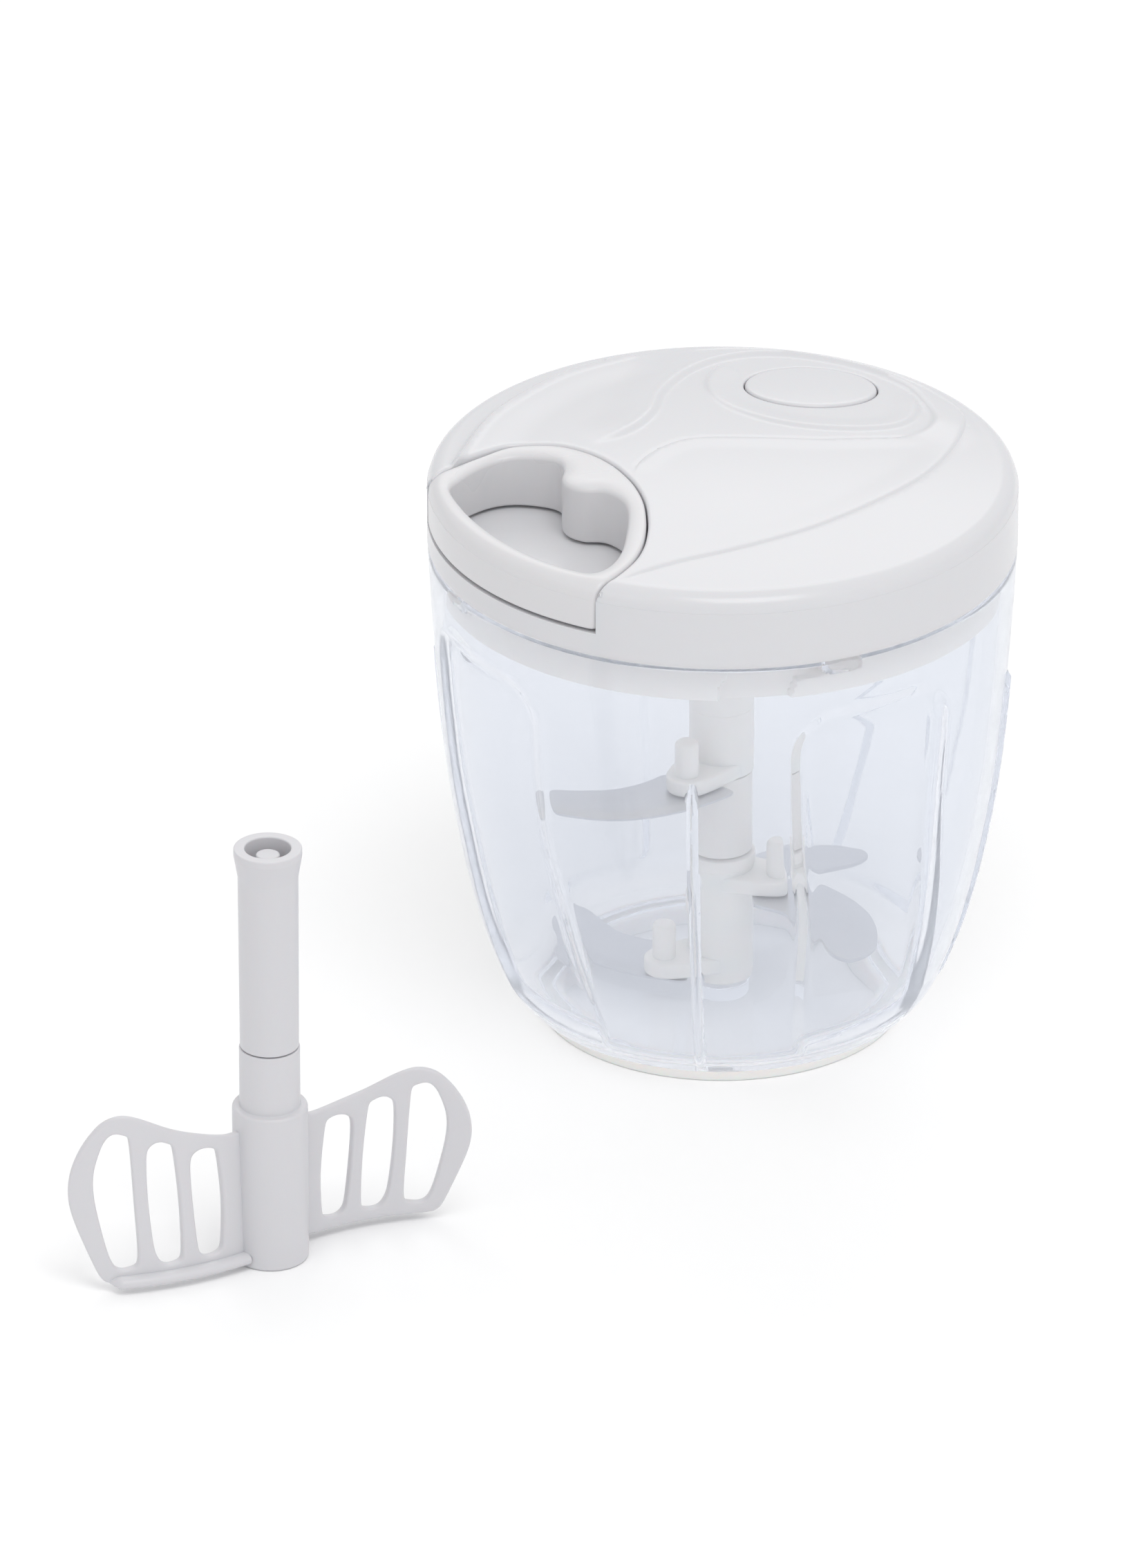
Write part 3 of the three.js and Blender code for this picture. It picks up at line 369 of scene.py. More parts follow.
def addNodes(tree, rows, links, **nodes):
    # A row is a node's name, its type and its settings: properties in lower case, and inputs by name or number. A link
    # reads "node.output > node.input", and a number there counts the sockets.
    prefix = tree.bl_idname.removesuffix("Tree")
    for name, kind, *settings in rows:
        node = nodes[name] = tree.nodes.new(kind if "Node" in kind else prefix + kind)
        inputs = {}
        for key, value in settings[0].items() if settings else ():
            if key == "stops":
                for stop, (stopPlace, colour) in zip(node.color_ramp.elements, value):
                    stop.position, stop.color = stopPlace, colour
            elif str(key)[0].islower():
                setattr(node, key, value)
            else:
                inputs[key] = value
        setInputs(node, inputs)
    for link in links.split(", "):
        ends = []
        for end, side in zip(link.split(" > "), ("outputs", "inputs")):
            name, label = end.split(".")
            ends.append(getattr(nodes[name], side)[int(label) if label.isdigit() else label])
        tree.links.new(*ends)


def newTree(name, inputs, rows, links):
    # A geometry tree. All of them end in Realize Instances and Set Material.
    tree = bpy.data.node_groups.new(name, "GeometryNodeTree")
    addSockets(tree, "INPUT", [("Geometry", "Geometry", None), *inputs, ("Material", "Material", None)])
    addSockets(tree, "OUTPUT", [("Geometry", "Geometry", None)])
    addNodes(tree, [("given", "NodeGroupInput"), ("result", "NodeGroupOutput"), ("realize", "RealizeInstances"),
                    ("paint", "SetMaterial"), *rows], links + ", given.Material > paint.Material, paint.0 > result.0")
    return tree


def runTree(piece, tree, **values):
    # Runs the tree on a piece, keeps the resulting mesh and drops the modifier
    modifier = piece.modifiers.new(tree.name, "NODES")
    modifier.node_group = tree
    ids = {item.name: item.identifier for item in tree.interface.items_tree
           if item.item_type == "SOCKET" and item.in_out == "INPUT"}
    for socketName, value in values.items():
        modifier[ids[socketName.replace("_", " ")]] = value
    mesh = evaluatedMesh(piece)
    piece.modifiers.remove(modifier)
    piece.data = mesh
    return piece


# Copies of the geometry turned evenly about the axis and welded where they meet
turnedCopies = newTree("turnedCopies", [("Copies", "Int", 4), ("Weld Distance", "Float", 1e-5)], [
    ("points", "Points"), ("place", "InstanceOnPoints"), ("index", "InputIndex"),
    ("share", "ShaderNodeMath", {"operation": "DIVIDE"}),
    ("turn", "ShaderNodeMath", {"operation": "MULTIPLY", 1: 2 * math.pi}), ("angles", "ShaderNodeCombineXYZ"),
    ("rotation", "FunctionNodeEulerToRotation"), ("weld", "MergeByDistance")],
    "given.Copies > points.Count, points.0 > place.Points, given.Geometry > place.Instance, index.0 > share.0, "
    "given.Copies > share.1, share.0 > turn.0, turn.0 > angles.Z, angles.0 > rotation.0, rotation.0 > place.Rotation, "
    "place.0 > realize.0, realize.0 > weld.Geometry, given.Weld Distance > weld.Distance, weld.0 > paint.Geometry")

# A copy of one piece at every point, turned and scaled by the points' own values
stationCopies = newTree("stationCopies", [("Piece", "Object", None)], [
    ("info", "ObjectInfo", {"transform_space": "ORIGINAL"}), ("place", "InstanceOnPoints"),
    ("toPoints", "MeshToPoints"), ("turn", "InputNamedAttribute", {"data_type": "FLOAT", "Name": "turn"}),
    ("size", "InputNamedAttribute", {"data_type": "FLOAT", "Name": "size"}), ("angles", "ShaderNodeCombineXYZ"),
    ("rotation", "FunctionNodeEulerToRotation")],
    "given.Geometry > toPoints.0, toPoints.0 > place.Points, given.Piece > info.0, info.Geometry > place.Instance, "
    "turn.0 > angles.Z, angles.0 > rotation.0, rotation.0 > place.Rotation, size.0 > place.Scale, place.0 > realize.0, "
    "realize.0 > paint.Geometry")

# A spiral or a helix with a round or a flat section
woundWire = newTree("woundWire", [
    ("Turns", "Float", 5.0), ("Start Radius", "Float", 0.004), ("End Radius", "Float", 0.004), ("Rise", "Float", 0.01),
    ("Section Width", "Float", 0.0005), ("Section Height", "Float", 0.0005), ("Steps", "Int", 40),
    ("Section Sides", "Int", 10)], [
    ("spiral", "CurveSpiral"), ("normal", "SetCurveNormal", {"mode": "Z_UP"}),
    ("section", "CurvePrimitiveCircle", {"Radius": 0.5}), ("shape", "Transform"),
    ("sizes", "ShaderNodeCombineXYZ", {"Z": 1}), ("sweep", "CurveToMesh", {"Fill Caps": True})],
    "given.Steps > spiral.Resolution, given.Turns > spiral.Rotations, given.Start Radius > spiral.Start Radius, "
    "given.End Radius > spiral.End Radius, given.Rise > spiral.Height, spiral.0 > normal.Curve, "
    "given.Section Sides > section.Resolution, section.0 > shape.Geometry, given.Section Height > sizes.X, "
    "given.Section Width > sizes.Y, sizes.0 > shape.Scale, normal.0 > sweep.Curve, shape.0 > sweep.Profile Curve, "
    "sweep.0 > realize.0, realize.0 > paint.Geometry")
print("helpers ready")

# Shared shader effects


def newEffect(name, inputs, outputs, rows, links):
    group = bpy.data.node_groups.new(name, "ShaderNodeTree")
    addSockets(group, "INPUT", inputs)
    addSockets(group, "OUTPUT", [(label, "Color" if label == "Color" else "Float", None) for label in outputs.split()])
    addNodes(group, [("given", "NodeGroupInput"), ("result", "NodeGroupOutput"), ("place", "TexCoord"), *rows], links)
    return group


toneMix = ("tone", "Mix", {"data_type": "RGBA"})

# The fine skin of moulded plastic, with slow patches in its gloss
mouldGrain = newEffect("mouldGrain", [
    ("Grain Scale", "Float", 1800.0), ("Patch Scale", "Float", 45.0), ("Low Roughness", "Float", 0.3),
    ("High Roughness", "Float", 0.4), ("Tone", "Color", (0.8, 0.8, 0.8, 1)),
    ("Grain Tone", "Color", (0.78, 0.78, 0.78, 1))], "Color Roughness Height", [
    ("grain", "TexNoise", {"Detail": 3}), ("patch", "TexNoise", {"Detail": 2}), ("spread", "MapRange"), toneMix],
    "place.Object > grain.Vector, place.Object > patch.Vector, given.Grain Scale > grain.Scale, "
    "given.Patch Scale > patch.Scale, patch.Fac > spread.Value, given.Low Roughness > spread.To Min, "
    "given.High Roughness > spread.To Max, grain.Fac > tone.Factor, given.Tone > tone.A, given.Grain Tone > tone.B, "
    "tone.Result > result.Color, spread.Result > result.Roughness, grain.Fac > result.Height")

# Fine drawn lines of rolled steel along one direction
brushedLines = newEffect("brushedLines", [
    ("Line Scale", "Float", 900.0), ("Stretch", "Float", 0.03), ("Direction", "Float", 0.0),
    ("Dark", "Color", (0.3, 0.3, 0.32, 1)), ("Light", "Color", (0.5, 0.5, 0.52, 1)), ("Low Roughness", "Float", 0.25),
    ("High Roughness", "Float", 0.45)], "Color Roughness Height", [
    ("turn", "VectorRotate", {"rotation_type": "Z_AXIS"}), ("squeeze", "VectorMath", {"operation": "MULTIPLY"}),
    ("factors", "CombineXYZ", {"Y": 1, "Z": 1}), ("lines", "TexNoise", {"Detail": 4}), ("spread", "MapRange"), toneMix],
    "place.Object > turn.Vector, given.Direction > turn.Angle, turn.Vector > squeeze.0, given.Stretch > factors.X, "
    "factors.Vector > squeeze.1, squeeze.Vector > lines.Vector, given.Line Scale > lines.Scale, "
    "lines.Fac > spread.Value, given.Low Roughness > spread.To Min, given.High Roughness > spread.To Max, "
    "lines.Fac > tone.Factor, given.Dark > tone.A, given.Light > tone.B, tone.Result > result.Color, "
    "spread.Result > result.Roughness, lines.Fac > result.Height")

# Crossing strands of a braided cord, woven about the pull direction, with painted shade in the valleys between the
# strands
strand = {"wave_type": "BANDS", "bands_direction": "X"}
braid = newEffect("braid", [
    ("Strand Scale", "Float", 900.0), ("Valley", "Color", (0.5, 0.49, 0.47, 1)),
    ("Crown", "Color", (0.85, 0.84, 0.82, 1))], "Color Height", [
    ("leftTurn", "VectorRotate", {"rotation_type": "Z_AXIS", "Angle": 0.6}), ("left", "TexWave", strand),
    ("rightTurn", "VectorRotate", {"rotation_type": "Z_AXIS", "Angle": -0.6}), ("right", "TexWave", strand),
    ("higher", "Math", {"operation": "MAXIMUM"}), toneMix],
    "place.Object > leftTurn.Vector, leftTurn.Vector > left.Vector, given.Strand Scale > left.Scale, "
    "place.Object > rightTurn.Vector, rightTurn.Vector > right.Vector, given.Strand Scale > right.Scale, "
    "left.Fac > higher.0, right.Fac > higher.1, higher.0 > tone.Factor, given.Valley > tone.A, given.Crown > tone.B, "
    "tone.Result > result.Color, higher.0 > result.Height")


def emptyMaterial(name, values):
    material = bpy.data.materials.new(name)
    material.use_nodes = True
    shader = material.node_tree.nodes["Principled BSDF"]
    setInputs(shader, values)
    return material, material.node_tree, shader


def newMaterial(name, effect, effectValues, values, bumpDistance, bumpStrength):
    material, tree, shader = emptyMaterial(name, values)
    gloss = "" if "Roughness" in values else ", effect.Roughness > shader.Roughness"
    addNodes(tree, [("effect", "Group", {"node_tree": effect, **effectValues}),
                    ("bump", "Bump", {"Distance": bumpDistance, "Strength": bumpStrength})],
             "effect.Color > shader.Base Color, effect.Height > bump.Height, bump.Normal > shader.Normal" + gloss,
             shader=shader)
    return material


def newPlastic(name, tone, grainTone, low, high, ior=1.47, soft=0.05, reach=0.002, bump=(0.00001, 0.5), **more):
    return newMaterial(name, mouldGrain,
                       {"Tone": (*tone, 1), "Grain Tone": (*grainTone, 1), "Low Roughness": low, "High Roughness": high,
                        **{key.replace("_", " "): value for key, value in more.items()}},
                       {"IOR": ior, "Subsurface Weight": soft, "Subsurface Scale": reach}, *bump)


lidPlastic = newPlastic("lidPlastic", (0.69, 0.69, 0.71), (0.68, 0.68, 0.7), 0.19, 0.27, 1.49)
handlePlastic = newPlastic("handlePlastic", (0.7, 0.695, 0.708), (0.69, 0.685, 0.698), 0.27, 0.28, 1.49)
shaftPlastic = newPlastic("shaftPlastic", (0.88, 0.866, 0.848), (0.865, 0.85, 0.83), 0.35, 0.45, soft=0.08, reach=0.003)
ivoryPlastic = newPlastic("ivoryPlastic", (0.83, 0.81, 0.795), (0.81, 0.79, 0.775), 0.4, 0.5, soft=0.08, reach=0.003)
paddlePlastic = newPlastic("paddlePlastic", (0.65, 0.645, 0.668), (0.64, 0.635, 0.658), 0.32, 0.42)
footSilicone = newPlastic("footSilicone", (0.87, 0.85, 0.83), (0.85, 0.83, 0.81), 0.55, 0.7, 1.41, 0.3, 0.003,
                          (0.00002, 0.6), Grain_Scale=2600.0)
bladeSteel = newMaterial("bladeSteel", brushedLines, {"Dark": (0.6, 0.6, 0.612, 1), "Light": (0.7, 0.7, 0.712, 1)},
                         {"Metallic": 0.85}, 0.000004, 0.6)
innerSteel = newMaterial("innerSteel", brushedLines, {"Dark": (0.45, 0.45, 0.46, 1), "Light": (0.6, 0.6, 0.62, 1),
                                                      "Line Scale": 1400.0}, {"Metallic": 1.0}, 0.000004, 0.5)
cordBraid = newMaterial("cordBraid", braid, {}, {"Roughness": 0.8, "Sheen Weight": 0.2}, 0.00008, 0.8)


def makeClearPlastic():
    # Clear moulded plastic. It refracts for the eye and lets light and shadow rays pass, so that the inside is lit.
    # A ray that is caught in the wall ends in a pale glow, as the photograph's soft edge lines do. A thin haze lies
    # over both faces of the wall, thicker and whiter on the bowl's floor; the whiter floor is partly frosting and
    # partly painted light that lifts the shade the lid casts there.
    material, tree, shader = emptyMaterial("clearPlastic", {"IOR": 1.49, "Transmission Weight": 1.0})
    hazeLow, hazeHigh, caughtAfter = 0.0069, 0.0085, 3.5
    addNodes(tree, [
        ("effect", "Group", {"node_tree": mouldGrain, "Tone": (0.94, 0.95, 0.97, 1),
                             "Grain Tone": (0.935, 0.945, 0.967, 1), "Low Roughness": 0.01, "High Roughness": 0.035,
                             "Patch Scale": 30.0}),
        ("place", "TexCoord"), ("ripple", "TexNoise", {"Scale": 60.0}),
        ("bump", "Bump", {"Distance": 0.00006, "Strength": 0.5}), ("rays", "LightPath"),
        ("passing", "BsdfTransparent", {"Color": (0.988, 0.99, 0.994, 1)}),
        ("caught", "Math", {"operation": "GREATER_THAN", 1: caughtAfter}),
        ("glow", "Emission", {"Color": (0.8, 0.825, 0.89, 1)}), ("front", "BsdfDiffuse"), ("behind", "BsdfTranslucent"),
        ("apart", "SeparateXYZ"),
        # Whiter haze below the floor's top: partly frosting, partly painted light against the lid's shade on the floor
        ("hazeTone", "ValToRGB", {"stops": [(hazeLow, (0.97, 0.98, 1.0, 1)), (hazeHigh, (0.74, 0.78, 0.86, 1))]}),
        ("hazeAmount", "MapRange", {"From Min": hazeLow, "From Max": hazeHigh, "To Min": 0.14, "To Max": 0.16}),
        ("veil", "MixShader", {"Fac": 0.5}), ("veiled", "MixShader"), ("seen", "MixShader"), ("mix", "MixShader"),
        ("either", "Math", {"operation": "MAXIMUM"})],
        "effect.Color > shader.Base Color, effect.Roughness > shader.Roughness, place.Object > ripple.Vector, "
        "ripple.Fac > bump.Height, bump.Normal > shader.Normal, place.Object > apart.Vector, apart.Z > hazeTone.Fac, "
        "apart.Z > hazeAmount.Value, hazeTone.Color > front.Color, hazeTone.Color > behind.Color, "
        "hazeAmount.Result > veiled.Fac, front.BSDF > veil.1, behind.BSDF > veil.2, shader.BSDF > veiled.1, "
        "veil.Shader > veiled.2, rays.Ray Depth > caught.0, caught.0 > seen.Fac, veiled.Shader > seen.1, "
        "glow.Emission > seen.2, rays.Is Shadow Ray > either.0, rays.Is Diffuse Ray > either.1, either.0 > mix.Fac, "
        "seen.Shader > mix.1, passing.BSDF > mix.2, mix.Shader > output.Surface",
        shader=shader, output=tree.nodes["Material Output"])
    return material


clearPlastic = makeClearPlastic()
print("materials ready")

# Camera, floor and light

photoView = {"imageHeight": 2268, "focalPixels": 25000.0, "elevation": 26.95, "across": 34.95, "up": -46.5,
             "away": 3799.6}


def makeCamera():
    # The camera that the photograph's rim ellipse, bowl sides and paddle agree on
    view = photoView
    data = bpy.data.cameras.new("photoCamera")
    scene.camera = linked("photoCamera", data)
    data.sensor_fit = "AUTO"
    data.sensor_width = 36
    data.lens = view["focalPixels"] / view["imageHeight"] * data.sensor_width
    data.clip_start, data.clip_end = 0.1, 100
    rise = math.radians(view["elevation"])
    sight = Vector((0, math.cos(rise), -math.sin(rise)))
    upward = Vector((0, math.sin(rise), math.cos(rise)))
    place = Vector((-view["across"], 0, 0)) - upward * view["up"] - sight * view["away"]
    scene.camera.location = place * millimetre + Vector((*bowlAxis, 0))
    scene.camera.rotation_euler = (math.pi / 2 - rise, 0, 0)


studio = {
    "floorReach": 6.0, "worldStrength": 0.87, "target": (0.04, 0.04, 0.06),
    "lights": [("keyLight", (0.25, -0.74, 1.77), (0.9, 0.9), 8.0), ("fillLight", (-1.0, -0.9, 1.2), (1.0, 1.0), 1.1),
               ("backLight", (-0.1, 1.3, 1.2), (1.3, 0.8), 3.6)],
}


def makeFloor():
    reach = studio["floorReach"]
    mesh = bpy.data.meshes.new("studioFloor")
    mesh.from_pydata([(-reach, -reach, 0), (reach, -reach, 0), (reach, reach, 0), (-reach, reach, 0)], [],
                     [(0, 1, 2, 3)])
    mesh.materials.append(emptyMaterial("paleFloor", {"Base Color": (0.985, 0.985, 0.985, 1), "Roughness": 0.9,
                                                      "Specular IOR Level": 0.1})[0])
    linked("studioFloor", mesh)


def makeWorld():
    # A bright studio round the object, a little darker and cooler low down so that clear edges show, and darker
    # toward the left
    scene.world = bpy.data.worlds.new("studio")
    scene.world.use_nodes = True
    tree = scene.world.node_tree
    background = tree.nodes["Background"]
    setInputs(background, {"Strength": studio["worldStrength"]})
    addNodes(tree, [
        ("place", "TexCoord"), ("split", "SeparateXYZ"),
        ("ramp", "ValToRGB", {"stops": [(0.0, (0.9, 0.915, 0.955, 1)), (0.45, (1.0, 1.0, 1.0, 1))]}),
        ("fall", "MapRange", {"From Min": -1.0, "From Max": 0.3, "To Min": 0.78, "To Max": 1.0}),
        ("shaded", "VectorMath", {"operation": "SCALE"})],
        "place.Generated > split.Vector, split.Z > ramp.Fac, split.X > fall.Value, ramp.Color > shaded.Vector, "
        "fall.Result > shaded.Scale, shaded.Vector > background.Color", background=background)


def makeLight(name, place, size, power):
    data = bpy.data.lights.new(name, "AREA")
    data.shape = "RECTANGLE"
    data.size, data.size_y = size
    data.energy = power
    light = linked(name, data)
    light.location = place
    light.rotation_euler = (Vector(studio["target"]) - Vector(place)).to_track_quat("-Z", "Y").to_euler()


makeCamera()
makeFloor()
makeWorld()
for row in studio["lights"]:
    makeLight(*row)
scene.view_settings.view_transform = "Standard"
scene.cycles.max_bounces = 24
scene.cycles.glossy_bounces = 16
scene.cycles.transmission_bounces = 24
scene.cycles.transparent_max_bounces = 24
print("camera, floor and light ready")

# Clear bowl with its recessed panels, ribs and bayonet lugs

bowlSizes = {
    "side": [(4.2, 43.8), (8, 47.1), (14, 49.8), (22, 52.6), (32, 55.25), (45, 57.9), (60, 60.2), (75, 61.7),
             (90, 62.8), (103, 63.6), (111.6, 64.0)],
    "wall": 2.6, "underside": 4.2, "floorTop": 6.7, "floorReach": 42.6, "rim": 111.6, "rimRounding": 0.9,
    "panelLeft": [(8, 18), (20, 16.7), (30, 16), (48, 15.5), (60, 14), (75, 13), (88, 12.5), (104, 12.2)],
    "panelRight": [(6, 63), (20, 59), (30, 57), (48, 54), (60, 52), (75, 51), (85, 51), (104, 51)],
    "panelTop": 101.0, "panelBottom": 9.0, "topCorner": 12.5, "bottomCorner": 5.0, "edgeWidth": 4.2,
    "recess": [(9, 1.9), (20, 2.3), (40, 2.2), (70, 1.8), (101, 1.5)], "innerShare": 0.65,
    "ribTurn": [(4, -5.7), (83, -6.5)], "ribWidth": 1.8, "ribDepth": 1.0, "ribTop": 83.0, "ribPoint": 5.0,
    "lug": (24.0, 4.0, 109.65, 1.65), "lugReach": 2.0, "downstand": (35.4, 38.6, 1.5), "boss": (6.0, 1.2),
    "pinHole": (2.8, 1.9), "footFillet": 4.0, "filletTop": 12.0, "firstTurn": -9.0, "lastTurn": 81.0,
    "columnSteps": [(-9.0, 0.35), (-3.2, 0.35), (-3.0, 2.0), (8.0, 2.0), (9.5, 0.55), (19.5, 0.55), (20.0, 0.8),
                    (30.0, 0.8), (31.0, 1.2), (45.0, 1.2), (48.0, 0.55), (63.0, 0.55), (65.0, 2.0), (81.0, 2.0)],
    "outsideRows": [(4.2, 84, 1.3), (84, 103, 0.65), (103, 110.6, 1.0)],
    "insideRows": [(110.2, 106, -0.45), (105.5, 12, -2.2)], "rimSteps": 6, "filletSteps": 6,
    "innerFade": (-1.5, 7), "innerFadeUp": (12, 34), "ribEase": 1.25, "ribFoot": (4.2, 6.0),
}


def tableValue(table, at):
    xs, ys = zip(*table)
    return np.interp(at, xs, ys)


def curveValue(table, at):
    # Smooth monotone curve through a table of (place, value)
    xs, ys = (np.array(v, float) for v in zip(*table))
    slopes = np.gradient(ys, xs)
    i = np.clip(np.searchsorted(xs, at) - 1, 0, len(xs) - 2)
    width = xs[i + 1] - xs[i]
    t = np.clip((at - xs[i]) / width, 0, 1)
    h00, h10 = 2 * t ** 3 - 3 * t ** 2 + 1, t ** 3 - 2 * t ** 2 + t
    h01, h11 = -2 * t ** 3 + 3 * t ** 2, t ** 3 - t ** 2
    return h00 * ys[i] + h10 * width * slopes[i] + h01 * ys[i + 1] + h11 * width * slopes[i + 1]


def panelInset(turn, height):
    # Distance into the panel from its nearest edge, in millimetres, with rounded corners
    size = bowlSizes
    radius = curveValue(size["side"], height)
    left = np.radians(turn - curveValue(size["panelLeft"], height)) * radius
    right = np.radians(curveValue(size["panelRight"], height) - turn) * radius
    top = size["panelTop"] - height
    bottom = height - size["panelBottom"]
    side = np.minimum(left, right)
    inset = np.minimum(side, np.minimum(top, bottom))
    for corner, level in ((size["topCorner"], top), (size["bottomCorner"], bottom)):
        cut = (side < corner) & (level < corner)
        inset = np.where(cut, np.minimum(inset, corner - np.hypot(corner - side, corner - level)), inset)
    return inset


def ramped(share):
    # A straight slope with soft ends, so that a band's two edges each catch the light
    soft = 0.18
    share = np.clip(share, 0, 1)
    low = share ** 2 / (2 * soft * (1 - soft))
    middle = (share - soft / 2) / (1 - soft)
    high = 1 - (1 - share) ** 2 / (2 * soft * (1 - soft))
    return np.where(share < soft, low, np.where(share > 1 - soft, high, middle))


def bowlColumns():
    # Angles from the front over a quarter, close together at the rib, the panel's edges and the lug
    size = bowlSizes
    first, last = size["firstTurn"], size["lastTurn"]
    at, columns = first, []
    while at < last - 1e-6:
        columns.append(at)
        at += tableValue(size["columnSteps"], at)
    return np.append(first + (np.array(columns) - first) * (last - first) / (at - first), last)


def bowlRows():
    # Rows of (radius, height, kind) from the middle of the underside over the rim to the middle of the floor. The
    # outside and inside rows get their radius at each column, and the rim's own is its share of the way inward.
    size = bowlSizes
    inner, outer, foot = size["downstand"]
    bossRadius, bossBottom = size["boss"]
    holeRadius, holeBottom = size["pinHole"]
    underside, floorTop, filletTop = size["underside"], size["floorTop"], size["filletTop"]
    below = roundedProfile([
        (0, bossBottom, 0), (bossRadius, bossBottom, 0.6), (bossRadius, underside, 0.6), (inner, underside, 0.6),
        (inner, foot, 0.6), (outer, foot, 0.6), (outer, underside, 0.6), (size["floorReach"], underside, 0)], 4)
    rows = [(r, z, "plain") for r, z in below]
    rows += [(None, z, "outside") for span in size["outsideRows"] for z in np.arange(*span)]
    for i in range(size["rimSteps"] + 1):
        share = i / size["rimSteps"]
        rows.append((share, size["rim"] - size["rimRounding"] * (1 - math.sin(math.pi * share)), "rim"))
    rows += [(None, z, "inside") for span in size["insideRows"] for z in np.arange(*span)]
    filletStart = curveValue(size["side"], filletTop) - size["wall"]
    for i in range(1, size["filletSteps"] + 1):
        angle = math.pi / 2 * i / size["filletSteps"]
        rows.append((filletStart - size["footFillet"] * (1 - math.cos(angle)),
                     filletTop - (filletTop - floorTop) * math.sin(angle), "plain"))
    return rows + [(r, z, "plain") for r, z in (
        (30.0, floorTop), (15.0, floorTop), (holeRadius + 0.4, floorTop), (holeRadius, floorTop - 0.4),
        (holeRadius, holeBottom), (0, holeBottom))]


def wallRadii(columns, z):
    # The wall's outer and inner radius at one height, with the panels, the ribs and the lugs
    size = bowlSizes
    smoothSide = curveValue(size["side"], z)
    inset = panelInset(columns, z)
    depth = tableValue(size["recess"], z)
    innerDip = size["innerShare"] * depth * smoothStep(*size["innerFade"], inset) * smoothStep(*size["innerFadeUp"], z)
    across = np.abs(np.radians(columns - tableValue(size["ribTurn"], z)) * smoothSide)
    ribHalf = size["ribWidth"] / 2 * np.clip((size["ribTop"] - z) / size["ribPoint"], 0, 1) ** 0.5
    ease = size["ribEase"]
    rib = size["ribDepth"] * np.clip(ease - across / np.maximum(ribHalf, 0.05), 0, 1) ** 0.5
    rib = np.where((z > size["ribTop"]) | (across > ribHalf * ease), 0, rib) * smoothStep(*size["ribFoot"], z)
    lugTurn, lugHalf, lugHeight, lugHalfHeight = size["lug"]
    lugShare = 1 - ((columns - lugTurn) / lugHalf) ** 2 - ((z - lugHeight) / lugHalfHeight) ** 2
    lug = size["lugReach"] * np.clip(lugShare, 0, 1) ** 0.5
    return smoothSide - depth * ramped(inset / size["edgeWidth"]) + rib, smoothSide - size["wall"] - innerDip - lug


def makeBowl():
    columns, rows = bowlColumns(), bowlRows()
    turn = np.radians(columns) - math.pi / 2
    points = []
    for radius, height, kind in rows:
        z = np.full(len(columns), float(height))
        if kind == "plain":
            r = np.full(len(columns), float(radius))
        else:
            outer, inner = wallRadii(columns, z)
            share = {"outside": 0, "inside": 1}.get(kind, radius)
            r = outer + (inner - outer) * (1 - math.cos(math.pi * share)) / 2
        points.append(np.column_stack([onCircle(r, turn), z]))
    faces = gridFaces(len(rows), len(columns), around=False, flip=True)
    quarter = newObject("clear_bowl", np.vstack(points), faces)
    runTree(quarter, turnedCopies, Copies=4, Weld_Distance=5e-6, Material=clearPlastic)
    cleanMesh(quarter.data, 30)
    settle(quarter, bowlAxis, "bowl", clearPlastic, ["bowl"], 30)


makeBowl()
print("bowl ready")

footSizes = {"inner": 33.5, "outer": 40.25, "height": 3.9, "seam": 2.0, "grooveInner": 35.1, "grooveOuter": 38.9,
             "grooveTop": 1.2}


def makeFoot():
    inner, outer, height, seam, groove, grooveEnd, grooveTop = footSizes.values()
    ring = lathed([(inner, seam, 0), (inner, 0.0, 0.5), (outer, 0.0, 0.6), (outer, height, 0.5),
                   (grooveEnd, height, 0.3), (grooveEnd, grooveTop, 0.2), (groove, grooveTop, 0.2),
                   (groove, height, 0.3), (inner, height, 0.5), (inner, seam, 0)], 4, 256)
    settle(newObject("foot_ring", *ring), bowlAxis, "bowl", footSilicone, ["base_ring"])


makeFoot()

# Lid cover: domed top with soft relief, the dock for the handle and the opening for the button

lidSizes = {
    "sideBottom": 112.0, "sideRadius": 64.1, "topRadius": 63.5, "edge": 129.2, "edgeRounding": 4.0, "rise": 3.7,
    "edgeRings": (59.6, 60.2, 60.8, 61.4, 62.0, 62.5, 62.95, 63.35, 63.7), "dockFloor": 117.5, "dockRounding": 0.8,
    "openingRounding": 0.4, "wall": 1.5, "cornerReach": 5.0, "button": (19.5, 36.0), "buttonHalves": (14.4, 11.5),
    "gap": 0.3, "buttonWell": (16, 3.4), "cornerShare": 0.06,
    "reliefFade": (57, 61), "lowerSide": [(0, 115.5), (0, 113.5), (0, 112.5), (0.12, 112.15)], "sideDraft": 0.45,
    "edgeOverhang": 0.45, "edgeBlend": (6, 2), "edgeEase": 0.5,
}
pullTurn = math.radians(-146)
# The dock's edge in the handle's own frame: along the pull, across it
dockEdge = [
    (72.0, -32.6), (60.0, -32.6), (50.0, -32.75), (41.0, -32.75), (34.6, -32.2), (30.0, -29.2), (25.6, -24.4),
    (22.9, -16.8), (22.3, -9.5), (22.8, -4.0), (24.0, 2.0), (26.4, 8.7), (29.4, 14.2), (33.2, 19.8), (38.2, 25.4),
    (44.1, 29.5), (52.0, 32.0), (60.0, 32.4), (72.0, 32.4)]


